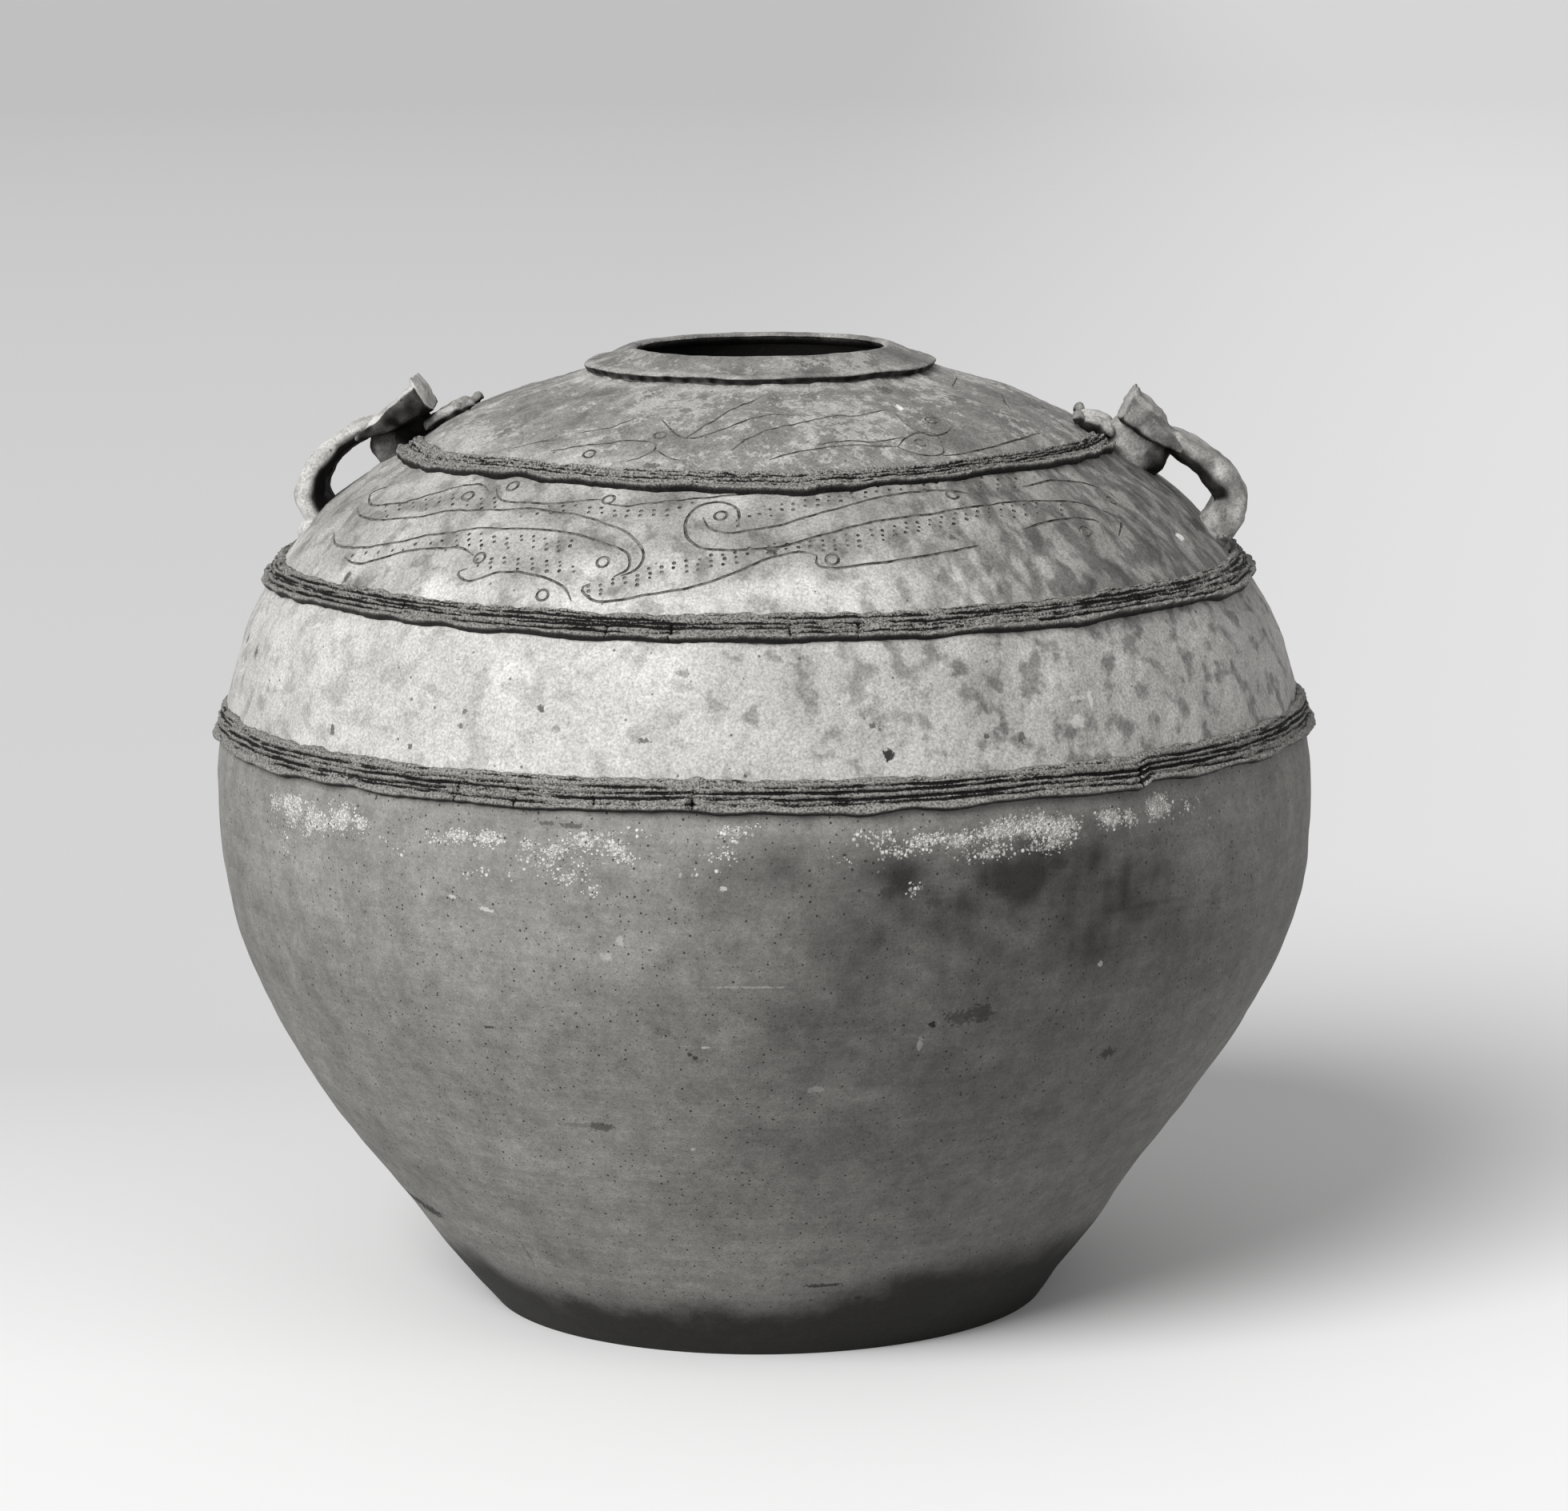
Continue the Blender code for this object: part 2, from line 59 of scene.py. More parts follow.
# Bow of the body's axis towards the left handle: height and shift, as shares of the radius
AXIS_BOW_SHARES = (
    (0.0, -0.004), (0.25, -0.015), (0.5, -0.008), (0.75, 0.0), (1.0, 0.0), (1.25, -0.006), (1.5, -0.011),
    (1.69, -0.002), (1.8, 0.0),
)
OVAL_SHARE = 0.0012
THREE_SIDED_SHARE = 0.0009
SAG_TWIST = 9.0

# Cordon sizes, in metres
LOWER_CORDON_WIDTH = 0.0105
MIDDLE_CORDON_WIDTH = 0.0092
UPPER_CORDON_WIDTH = 0.0098
LOWER_CORDON_THICKNESS = 0.0027
MIDDLE_CORDON_THICKNESS = 0.0026
UPPER_CORDON_THICKNESS = 0.0018
CORDON_STEPS = 1400
CORDON_POINTS = 40

# Collar sizes, in metres
MOUTH_RADIUS = 0.0407
HOLE_MARGIN = 0.0074
COLLAR_RADIUS = 0.0574
COLLAR_RISE = 0.0052
LIP_THICKNESS = 0.0020
LIP_LIFT = 0.0011
LIP_UNDERCUT = 0.0030
SPIGOT_DEPTH = 0.0090
RIM_DEPTH = 0.0012
BORE_UNDERCUT = 0.0030
SPIGOT_WALL = 0.0016

# Camera, fitted to the jar's outline and circles; the jar stands turned a little to it
PHOTO_WIDTH = 1960
PHOTO_HEIGHT = 1889
CAMERA_PLACE = (0.00628, -1.7795, 0.4822)
CAMERA_TILT = math.radians(9.689)
CAMERA_ROLL = math.radians(-0.529)
CAMERA_LENS = 125.46
SENSOR_WIDTH = 36.0
JAR_TURN = math.radians(3.0)
FOCAL_PIXELS = CAMERA_LENS / SENSOR_WIDTH * PHOTO_WIDTH
RAY_START = 1.3
RAY_END = 2.2
RAY_STEPS = 6000

CURVE_STEPS = 24
WAVES = 28
FRONT = -math.pi / 2


def smooth_line(knots, steps):
    """Points of a smooth curve through the knots, with the given steps between two knots."""
    knots = np.array(knots, dtype=float)
    lengths = np.linalg.norm(np.diff(knots, axis=0), axis=1)
    places = np.concatenate([[0.0], np.cumsum(lengths)])
    slopes = np.gradient(knots, places, axis=0)
    points = []
    for index in range(len(knots) - 1):
        span = lengths[index]
        for share in np.linspace(0.0, 1.0, steps, endpoint=False):
            square = share * share
            cube = square * share
            points.append(
                (2 * cube - 3 * square + 1) * knots[index]
                + (cube - 2 * square + share) * span * slopes[index]
                + (3 * square - 2 * cube) * knots[index + 1]
                + (cube - square) * span * slopes[index + 1]
            )
    points.append(knots[-1])
    return np.array(points)


def line_places(points):
    """Distance of each point from the start of its line."""
    return np.concatenate([[0.0], np.cumsum(np.linalg.norm(np.diff(points, axis=0), axis=1))])


def resampled(points, count):
    """The given number of points at equal distances along a line."""
    points = np.array(points, dtype=float)
    places = line_places(points)
    wanted = np.linspace(0.0, places[-1], count)
    return np.column_stack([np.interp(wanted, places, column) for column in points.T])


WALL_KNOTS = [(radius * BODY_RADIUS, height * BODY_HEIGHT) for height, radius in BODY_OUTLINE_SHARES]
WALL_LINE = smooth_line(WALL_KNOTS, CURVE_STEPS)
WALL_PLACES = line_places(WALL_LINE)
WALL_SLOPES = np.gradient(WALL_LINE, WALL_PLACES, axis=0)
WALL_SLOPES /= np.linalg.norm(WALL_SLOPES, axis=1)[:, None]
AXIS_BOW = BODY_RADIUS * smooth_line(AXIS_BOW_SHARES, CURVE_STEPS)


def on_wall(places, depths):
    """Radius and height of points under the wall's outer line; a negative depth lies outside it."""
    radius, height = (np.interp(places, WALL_PLACES, column) for column in WALL_LINE.T)
    up_radius, up_height = (np.interp(places, WALL_PLACES, column) for column in WALL_SLOPES.T)
    return radius - depths * up_height, height + depths * up_radius


def place_at_height(height):
    """Place along the wall's outer line that has the given height."""
    return np.interp(height, WALL_LINE[:, 1], WALL_PLACES)


def place_at_radius(radius):
    """Place along the shoulder and crown that has the given radius."""
    widest = int(np.argmax(WALL_LINE[:, 0]))
    return float(np.interp(-radius, -WALL_LINE[widest:, 0], WALL_PLACES[widest:]))


LOWER_JOINT = float(place_at_height(LOWER_JOINT_SHARE * BODY_HEIGHT))
MIDDLE_JOINT = float(place_at_height(MIDDLE_JOINT_SHARE * BODY_HEIGHT))
UPPER_JOINT = float(place_at_height(UPPER_JOINT_SHARE * BODY_HEIGHT))
CROWN_END = place_at_radius(MOUTH_RADIUS + HOLE_MARGIN)


def sagged(points):
    """Points of the true form moved as the clay stood: its axis bows and its rounds aren't true."""
    points = np.array(points, dtype=float)
    angles = np.arctan2(points[:, 1], points[:, 0])
    turn = SAG_TWIST * points[:, 2]
    growth = 1.0 + OVAL_SHARE * np.cos(2 * angles + turn) + THREE_SIDED_SHARE * np.cos(3 * angles - turn)
    points[:, :2] *= growth[:, None]
    points[:, 0] += np.interp(points[:, 2], AXIS_BOW[:, 0], AXIS_BOW[:, 1])
    return points


def ripple(points, size, seed):
    """Seeded smooth noise of about unit strength, with bumps of about the given size."""
    draw = np.random.default_rng(seed)
    ways = draw.normal(size=(WAVES, points.shape[1]))
    ways *= math.pi / size / np.linalg.norm(ways, axis=1)[:, None] * draw.uniform(0.6, 1.4, (WAVES, 1))
    turns = draw.uniform(0.0, 2 * math.pi, WAVES)
    return np.cos(points @ ways.T + turns).sum(axis=1) * math.sqrt(2.0 / WAVES)


def rippled(points, waves, seeds):
    """Ripples put together: each wave has its height and its size."""
    return sum(height * ripple(points, size, seed) for (height, size), seed in zip(waves, seeds))


def rising(values, low, high):
    """A smooth step from 0 at low to 1 at high."""
    share = np.clip((values - low) / (high - low), 0.0, 1.0)
    return share * share * (3.0 - 2.0 * share)


def camera_matrix():
    """Place and turn of the camera."""
    place = Matrix.Translation(CAMERA_PLACE)
    tilt = Matrix.Rotation(math.pi / 2 - CAMERA_TILT, 4, "X")
    roll = Matrix.Rotation(CAMERA_ROLL, 4, "Z")
    return Matrix.Rotation(JAR_TURN, 4, "Z") @ place @ tilt @ roll


def wall_spot(pixel):
    """Azimuth and place along the wall of what a pixel of the photograph shows."""
    across = (pixel[0] - PHOTO_WIDTH / 2) / FOCAL_PIXELS
    upward = (PHOTO_HEIGHT / 2 - pixel[1]) / FOCAL_PIXELS
    view = camera_matrix()
    way = np.array(view.to_3x3() @ Vector((across, upward, -1.0)))
    path = np.array(view.translation) + np.linspace(RAY_START, RAY_END, RAY_STEPS)[:, None] * way
    path[:, 0] -= np.interp(path[:, 2], AXIS_BOW[:, 0], AXIS_BOW[:, 1])
    gap = np.hypot(path[:, 0], path[:, 1]) - np.interp(path[:, 2], WALL_LINE[:, 1], WALL_LINE[:, 0])
    first = int(np.argmax(gap < 0.0)) if gap.min() < 0.0 else int(np.argmin(gap))
    x, y, z = path[first]
    return math.atan2(y, x), float(place_at_height(z))


def wall_curve(pixels):
    """Azimuths and places of a smooth line drawn through pixels of the photograph."""
    return np.array([wall_spot(pixel) for pixel in pixels])


def nearness(angles, places, spot, along, across):
    """1 at a spot of the wall, falling off over the given lengths around and up the wall."""
    radius = on_wall(spot[1], 0.0)[0]
    turn = (angles - spot[0] + math.pi) % (2 * math.pi) - math.pi
    return np.exp(-(turn * radius / along) ** 2 - ((places - spot[1]) / across) ** 2)


def activate(piece):
    """Select one piece alone."""
    bpy.ops.object.select_all(action="DESELECT")
    piece.select_set(True)
    bpy.context.view_layer.objects.active = piece


def points_of(piece):
    """Every vertex of a piece as an array."""
    points = np.empty(3 * len(piece.data.vertices))
    piece.data.vertices.foreach_get("co", points)
    return points.reshape(-1, 3)


def move_points(piece, points):
    """Give every vertex of a piece its place."""
    piece.data.vertices.foreach_set("co", np.ascontiguousarray(points, dtype=np.float32).ravel())
    piece.data.update()


def mark(piece, name, values):
    """Store one number for each vertex of a piece under a name that its material reads."""
    layer = piece.data.attributes.get(name) or piece.data.attributes.new(name, "FLOAT", "POINT")
    layer.data.foreach_set("value", np.ascontiguousarray(values, dtype=np.float32))


def marked(piece, name):
    """The numbers stored under a name."""
    values = np.empty(len(piece.data.vertices), dtype=np.float32)
    piece.data.attributes[name].data.foreach_get("value", values)
    return values.astype(float)


def mark_places(piece, places):
    """Store for each vertex the place that patterns follow."""
    layer = piece.data.attributes.new("wall_place", "FLOAT_VECTOR", "POINT")
    layer.data.foreach_set("vector", np.ascontiguousarray(places, dtype=np.float32).ravel())


def smooth_shaded(piece, angle=math.radians(40)):
    """Shade a piece smooth and keep its sharp corners."""
    activate(piece)
    bpy.ops.object.shade_smooth_by_angle(angle=angle)


def facing_out(piece):
    """Merge a piece's doubles and turn its faces outwards."""
    activate(piece)
    bpy.ops.object.mode_set(mode="EDIT")
    bpy.ops.mesh.select_all(action="SELECT")
    bpy.ops.mesh.remove_doubles(threshold=1e-6)
    bpy.ops.mesh.normals_make_consistent(inside=False)
    bpy.ops.object.mode_set(mode="OBJECT")


def select_rims():
    """Select every open edge of the piece in edit mode."""
    bpy.ops.mesh.select_all(action="DESELECT")
    bpy.ops.mesh.select_non_manifold(
        extend=False, use_wire=False, use_boundary=True, use_multi_face=False,
        use_non_contiguous=False, use_verts=False)


def sleeve(name, rings, marks=None):
    """A closed skin over rings of points: a grid rolled up, with open ends filled."""
    rings = np.array(rings, dtype=float)
    rows, sides = rings.shape[:2]
    bpy.ops.object.select_all(action="DESELECT")
    bpy.ops.mesh.primitive_grid_add(x_subdivisions=sides, y_subdivisions=rows - 1, size=BODY_RADIUS)
    piece = bpy.context.object
    piece.name = name
    piece.data.name = name
    flat = points_of(piece)
    order = np.lexsort((np.round(flat[:, 0], 6), np.round(flat[:, 1], 6)))
    points = np.empty_like(flat)
    points[order] = np.concatenate([rings, rings[:, :1]], axis=1).reshape(-1, 3)
    move_points(piece, points)
    for label, values in (marks or {}).items():
        spread = np.empty(len(flat))
        spread[order] = np.concatenate([values, values[:, :1]], axis=1).ravel()
        mark(piece, label, spread)
    bpy.ops.object.mode_set(mode="EDIT")
    bpy.ops.mesh.select_all(action="SELECT")
    bpy.ops.mesh.remove_doubles(threshold=1e-6)
    select_rims()
    bpy.ops.mesh.fill_holes(sides=0)
    bpy.ops.object.mode_set(mode="OBJECT")
    facing_out(piece)
    return piece


def turned(name, outline, steps, start=0.0, sweep=2 * math.pi, marks=None):
    """A closed outline of radius and height swept about the jar's axis, all round or over an arc."""
    radius, height = np.array(outline, dtype=float).T
    angles = start + np.linspace(0.0, sweep, steps + 1)
    level = np.tile(height, (steps + 1, 1))
    rings = np.stack([np.outer(np.cos(angles), radius), np.outer(np.sin(angles), radius), level], axis=2)
    spread = {label: np.tile(values, (steps + 1, 1)) for label, values in (marks or {}).items()}
    return sleeve(name, rings, spread)


def wall_turned(name, spots, steps, start=0.0, sweep=2 * math.pi):
    """A turned piece whose outline is given as places along the wall and depths under it."""
    places, depths = np.array(spots, dtype=float).T
    marks = {"place": places, "depth": depths}
    return turned(name, np.column_stack(on_wall(places, depths)), steps, start, sweep, marks)


def azimuths(points):
    """Angle of each point about the jar's axis."""
    return np.arctan2(points[:, 1], points[:, 0])


def set_on_wall(piece, angles, places, depths):
    """Move a piece's vertices to their places, depths and azimuths on the sagged wall."""
    radius, height = on_wall(places, depths)
    points = np.column_stack([radius * np.cos(angles), radius * np.sin(angles), height])
    move_points(piece, sagged(points))
    ring = BODY_RADIUS * np.column_stack([np.cos(angles), np.sin(angles)])
    mark_places(piece, np.column_stack([ring, places]))


def linear_colour(code):
    """The linear colour of an sRGB hex code."""
    parts = [int(code[start:start + 2], 16) / 255 for start in (0, 2, 4)]
    linear = [part / 12.92 if part <= 0.04045 else ((part + 0.055) / 1.055) ** 2.4 for part in parts]
    return (*linear, 1.0)


def new_material(name):
    """A material, and its Principled shader."""
    made = bpy.data.materials.new(name)
    made.use_nodes = True
    return made, made.node_tree.nodes["Principled BSDF"]


def plug(owner, value, socket):
    """Set a socket to a value, or link it from a socket or from a node's first output."""
    if isinstance(value, bpy.types.Node):
        value = next(output for output in value.outputs if output.enabled)
    if isinstance(value, bpy.types.NodeSocket):
        owner.node_tree.links.new(value, socket)
    else:
        socket.default_value = value


# Setting of a spread that eases in and out
SMOOTH = {"interpolation_type": "SMOOTHSTEP"}


def add_node(owner, kind, inputs=(), **settings):
    """Add one shader node with its settings, and its inputs as values or links, by name or in order."""
    node = owner.node_tree.nodes.new("ShaderNode" + kind)
    for name, value in settings.items():
        setattr(node, name, value)
    for name, value in (inputs.items() if isinstance(inputs, dict) else enumerate(inputs)):
        plug(owner, value, node.inputs[name])
    return node


# Sockets of a Mix node that mixes colours
MIX_FACTOR = 0
MIX_FIRST = 6
MIX_SECOND = 7

# Real sizes of the surfaces' patterns, in metres
MOTTLE_SIZE = 0.0032


# Ragged edge of the marks on the wall, and how far into the wall a mark reaches
MARK_RAG_SIZE = 0.0011
MARK_DEPTH = 0.020
PATCH_SIZE = 0.0125


BLOTCH_SIZE = 0.0085
LEATHER_SIZE = 0.00085
DAPPLE_WIDTH = 0.0066
DAPPLE_LENGTH = 0.0100
SPECK_SPACING = 0.0040
FLAKE_SIZE = 0.0046
FLAKE_FIELD = 0.026
WIPE_HEIGHT = 0.0018
WIPE_LENGTH = 0.075
PRICK_SPACING = 0.0021
CLAY_CLOUD_SIZE = 0.026
CLAY_GRAIN_SIZE = 0.00075
ASH_GRAIN_SIZE = 0.00120
ASH_VEIL_SIZE = 0.0024
DASH_LENGTH = 0.0085
DASH_HEIGHT = 0.00075
CRUST_SIZE = 0.0007
# The span that holds most of a noise's values
NOISE_SPAN = (0.3, 0.7)
# How ragged a mark is, and where its edge fades
MARK_RAG = (-0.50, 0.50)
MARK_EDGE = (0.66, 1.10)


def worn_marks(owner, where, spots):
    """Strength of ragged marks on the wall.

    Each is given by its pixel in the photograph, its half lengths around and up the wall in metres,
    and its strength.
    """
    rag = add_node(owner, "TexNoise",
        {"Vector": where, "Scale": 1 / MARK_RAG_SIZE, "Detail": 3.0, "Roughness": 0.6})
    ragged = add_node(owner, "MapRange", (rag, *NOISE_SPAN, *MARK_RAG))
    strongest = 0.0
    for pixel, along, across, strength in spots:
        angle, place = wall_spot(pixel)
        radius, height = on_wall(place, 0.0)
        rise = float(np.interp(place, WALL_PLACES, WALL_SLOPES[:, 1]))
        centre = sagged([(radius * math.cos(angle), radius * math.sin(angle), height)])[0]
        local = add_node(owner, "Mapping", {
            "Vector": where, "Location": tuple(centre), "Rotation": (0.0, 0.0, angle + math.pi / 2),
            "Scale": (along, MARK_DEPTH, across * rise)}, vector_type="TEXTURE")
        away = add_node(owner, "VectorMath", {0: local.outputs["Vector"]}, operation="LENGTH")
        edge = add_node(owner, "Math", (away.outputs["Value"], ragged), operation="ADD")
        strongest = add_node(owner, "Math", (strongest, add_node(owner, "MapRange",
            (edge, *MARK_EDGE, strength, 0.0), **SMOOTH)), operation="MAXIMUM")
    return strongest


# Colours of the glaze
THIN_GLAZE = "6b6a67"
THICK_GLAZE = "dfddd9"
FLAKED_GLAZE = "bdbcb8"
WEATHERED_GLAZE = "575653"
IRON_SPECK = "262422"
FRESH_CHIP = "f3f2ee"
# Near black: bare clay, and painted shade on the handles and the lip's side
BARE_CLAY_AND_SHADE = "121110"
# Each spread runs between two values of its pattern and turns them into two strengths
BLOTCHED = (0.49, 0.64, 0.0, 0.56)
MOTTLED = (*NOISE_SPAN, 1.07, 0.93)
DAPPLED = (0.42, 0.62, -0.30, 0.55)
LEATHERY = (0.33, 0.63, 0.58, 1.20)
FLAKE_FIELDS = (*NOISE_SPAN, -0.09, 0.09)
FLAKED = (0.535, 0.560, 0.0, 0.66)
WORN_THIN = (0.44, 0.38, 0.0, 0.45)
SPECK_REACH = (0.3, 1.0, -0.03, 0.14)
SPECK_EDGE = (-0.02, 0.03)
SHEEN_LOST = (0.3, 1.0, 0.50, 0.06)
GLAZE_ROUGHNESS = (*NOISE_SPAN, 0.50, 0.68)


def ash_glaze():
    """Natural ash glaze, melted in the kiln from wood ash that fell on the jar.

    It is semi-matt and pale, softly blotched where it ran thin, leathery and specked with iron; on
    the crown it has weathered to grey and left crisp pale flakes.
    """
    glaze, shader = new_material("natural_ash_glaze")
    where = add_node(glaze, "TexCoord").outputs["Object"]
    along_wall = add_node(glaze, "Attribute", attribute_name="wall_place").outputs["Vector"]

    # Soft blotches
    blotches = add_node(glaze, "TexNoise",
        {"Vector": where, "Scale": 1 / BLOTCH_SIZE, "Detail": 3.0, "Roughness": 0.55})
    blotched = add_node(glaze, "Math", (add_node(glaze, "MapRange", (blotches, *BLOTCHED), **SMOOTH),
        add_node(glaze, "Attribute", attribute_name="mottle").outputs["Fac"]),
        operation="MULTIPLY")
    mottles = add_node(glaze, "TexNoise",
        {"Vector": where, "Scale": 1 / MOTTLE_SIZE, "Detail": 3.0, "Roughness": 0.6})
    shade = add_node(glaze, "Math", (add_node(glaze, "MapRange",
        (mottles, *MOTTLED), **SMOOTH), blotched), operation="SUBTRACT")

    # Pale streaks where the glaze ran down the dark right shoulder
    stretched = add_node(glaze, "Mapping", {
        "Vector": along_wall, "Scale": (1 / DAPPLE_WIDTH, 1 / DAPPLE_WIDTH, 1 / DAPPLE_LENGTH)})
    dapples = add_node(glaze, "TexNoise", {
        "Vector": stretched.outputs["Vector"], "Scale": 1.0, "Detail": 2.5, "Roughness": 0.5})
    dappled = add_node(glaze, "Math", (add_node(glaze, "MapRange", (dapples, *DAPPLED), **SMOOTH),
        add_node(glaze, "Attribute", attribute_name="dapple").outputs["Fac"]),
        operation="MULTIPLY")
    shade = add_node(glaze, "Math", (shade, dappled), operation="ADD")

    # Leathery skin, with dark grains
    leather = add_node(glaze, "TexNoise",
        {"Vector": where, "Scale": 1 / LEATHER_SIZE, "Detail": 4.0, "Roughness": 0.75})
    leathery = add_node(glaze, "MapRange", (leather, *LEATHERY))
    shade = add_node(glaze, "Math", (shade, leathery), operation="MULTIPLY")

    base = add_node(glaze, "Mix", {
        MIX_FACTOR: add_node(glaze, "Attribute", attribute_name="tone").outputs["Fac"],
        MIX_FIRST: linear_colour(THIN_GLAZE), MIX_SECOND: linear_colour(THICK_GLAZE)}, data_type="RGBA")

    # Crisp pale flakes on the weathered crown, in fields
    fields = add_node(glaze, "TexNoise",
        {"Vector": where, "Scale": 1 / FLAKE_FIELD, "Detail": 2.0, "Roughness": 0.5})
    flakes = add_node(glaze, "TexNoise",
        {"Vector": where, "Scale": 1 / FLAKE_SIZE, "Detail": 9.0, "Roughness": 0.78})
    flaky = add_node(glaze, "Math",
        (flakes, add_node(glaze, "MapRange", (fields, *FLAKE_FIELDS))), operation="ADD")
    flaked = add_node(glaze, "Math", (add_node(glaze, "MapRange", (flaky, *FLAKED), **SMOOTH),
        add_node(glaze, "Attribute", attribute_name="weathered").outputs["Fac"]),
        operation="MULTIPLY")
    base = add_node(glaze, "Mix",
        {MIX_FACTOR: flaked, MIX_FIRST: base, MIX_SECOND: linear_colour(FLAKED_GLAZE)}, data_type="RGBA")
    worn = add_node(glaze, "Math", (add_node(glaze, "MapRange", (flaky, *WORN_THIN), **SMOOTH),
        add_node(glaze, "Attribute", attribute_name="weathered").outputs["Fac"]),
        operation="MULTIPLY")
    base = add_node(glaze, "Mix",
        {MIX_FACTOR: worn, MIX_FIRST: base, MIX_SECOND: linear_colour(WEATHERED_GLAZE)}, data_type="RGBA")
    base = add_node(glaze, "Mix", {MIX_FACTOR: 1.0, MIX_FIRST: base, MIX_SECOND: shade},
        data_type="RGBA", blend_type="MULTIPLY")

    # Iron specks of different sizes
    specks = 0.0
    for spacing, most in ((SPECK_SPACING, 0.72), (0.46 * SPECK_SPACING, 0.46)):
        cells = add_node(glaze, "TexVoronoi", {"Vector": where, "Scale": 1 / spacing})
        sizes = add_node(glaze, "SeparateColor", {"Color": cells.outputs["Color"]}).outputs["Red"]
        reach = add_node(glaze, "MapRange", (sizes, *SPECK_REACH))
        inside = add_node(glaze, "Math", (reach, cells.outputs["Distance"]), operation="SUBTRACT")
        specks = add_node(glaze, "Math", (specks, add_node(glaze, "MapRange",
            (inside, *SPECK_EDGE, 0.0, most), **SMOOTH)), operation="MAXIMUM")
    pits = worn_marks(glaze, where, GLAZE_PITS)
    base = add_node(glaze, "Mix", {
        MIX_FACTOR: add_node(glaze, "Math", (specks, pits), operation="MAXIMUM"), MIX_FIRST: base,
        MIX_SECOND: linear_colour(IRON_SPECK)}, data_type="RGBA")
    base = add_node(glaze, "Mix", {MIX_FACTOR: worn_marks(glaze, where, GLAZE_CHIPS),
        MIX_FIRST: base, MIX_SECOND: linear_colour(FRESH_CHIP)}, data_type="RGBA")

    # Near black where marked: bare clay, painted shade on handles and lip, and the jar's inside; no sheen
    bare_and_shade = add_node(glaze, "Attribute", attribute_name="bare_and_shade").outputs["Fac"]
    bare = add_node(glaze, "Mix",
        {MIX_FACTOR: bare_and_shade, MIX_FIRST: base, MIX_SECOND: linear_colour(BARE_CLAY_AND_SHADE)}, data_type="RGBA")
    plug(glaze, bare, shader.inputs["Base Color"])
    sheen = add_node(glaze, "MapRange", (bare_and_shade, *SHEEN_LOST), **SMOOTH)
    plug(glaze, sheen, shader.inputs["Specular IOR Level"])

    plug(glaze, add_node(glaze, "MapRange", (mottles, *GLAZE_ROUGHNESS),
        **SMOOTH), shader.inputs["Roughness"])
    relief = add_node(glaze, "Bump", {"Strength": 0.8, "Distance": 0.00016, "Height": leather})
    swelling = add_node(glaze, "Bump", {
        "Strength": 0.7, "Distance": 0.0006, "Height": mottles, "Normal": relief.outputs["Normal"]})
    plug(glaze, swelling.outputs["Normal"], shader.inputs["Normal"])
    shader.inputs["IOR"].default_value = 1.45
    return glaze


# Colours of the bare clay and of the ash on it
DARK_CLAY = "6a6966"
PALE_CLAY = "a3a29e"
SMOKED_CLAY = "2b2a28"
SCORCHED_CLAY = "232220"
ASH_CRUST = "bab9b5"
GREY_ASH = "92918d"
WHITE_ASH = "f0efeb"
DARK_MARK = "1f1e1c"
CLAY_CHIP = "c9c8c4"
# Spreads of its patterns, as for the glaze
CLOUDED = (*NOISE_SPAN, 0.86, 1.14)
PATCHED = (*NOISE_SPAN, 0.80, 1.20)
VEILED = (*NOISE_SPAN, 0.83, 1.17)
SCORCH_RAG = (*NOISE_SPAN, -0.14, 0.14)
SCORCHED = (0.06, 0.98, 0.0, 1.0)
WIPED = (*NOISE_SPAN, 0.92, 1.08)
GRAINED = (*NOISE_SPAN, 0.78, 1.20)
ASH_RAG = (*NOISE_SPAN, -0.30, 0.30)
ASH_SOLID = (0.46, 0.74, 0.0, 1.0)
ASH_LOOSE = (0.10, 0.75, 0.0, 0.62)
ASH_BEAD = (0.30, 0.66, 1.0, 0.0)
PRICK_REACH = (0.1, 1.0, -0.02, 0.20)
PRICK_EDGE = (-0.03, 0.03)


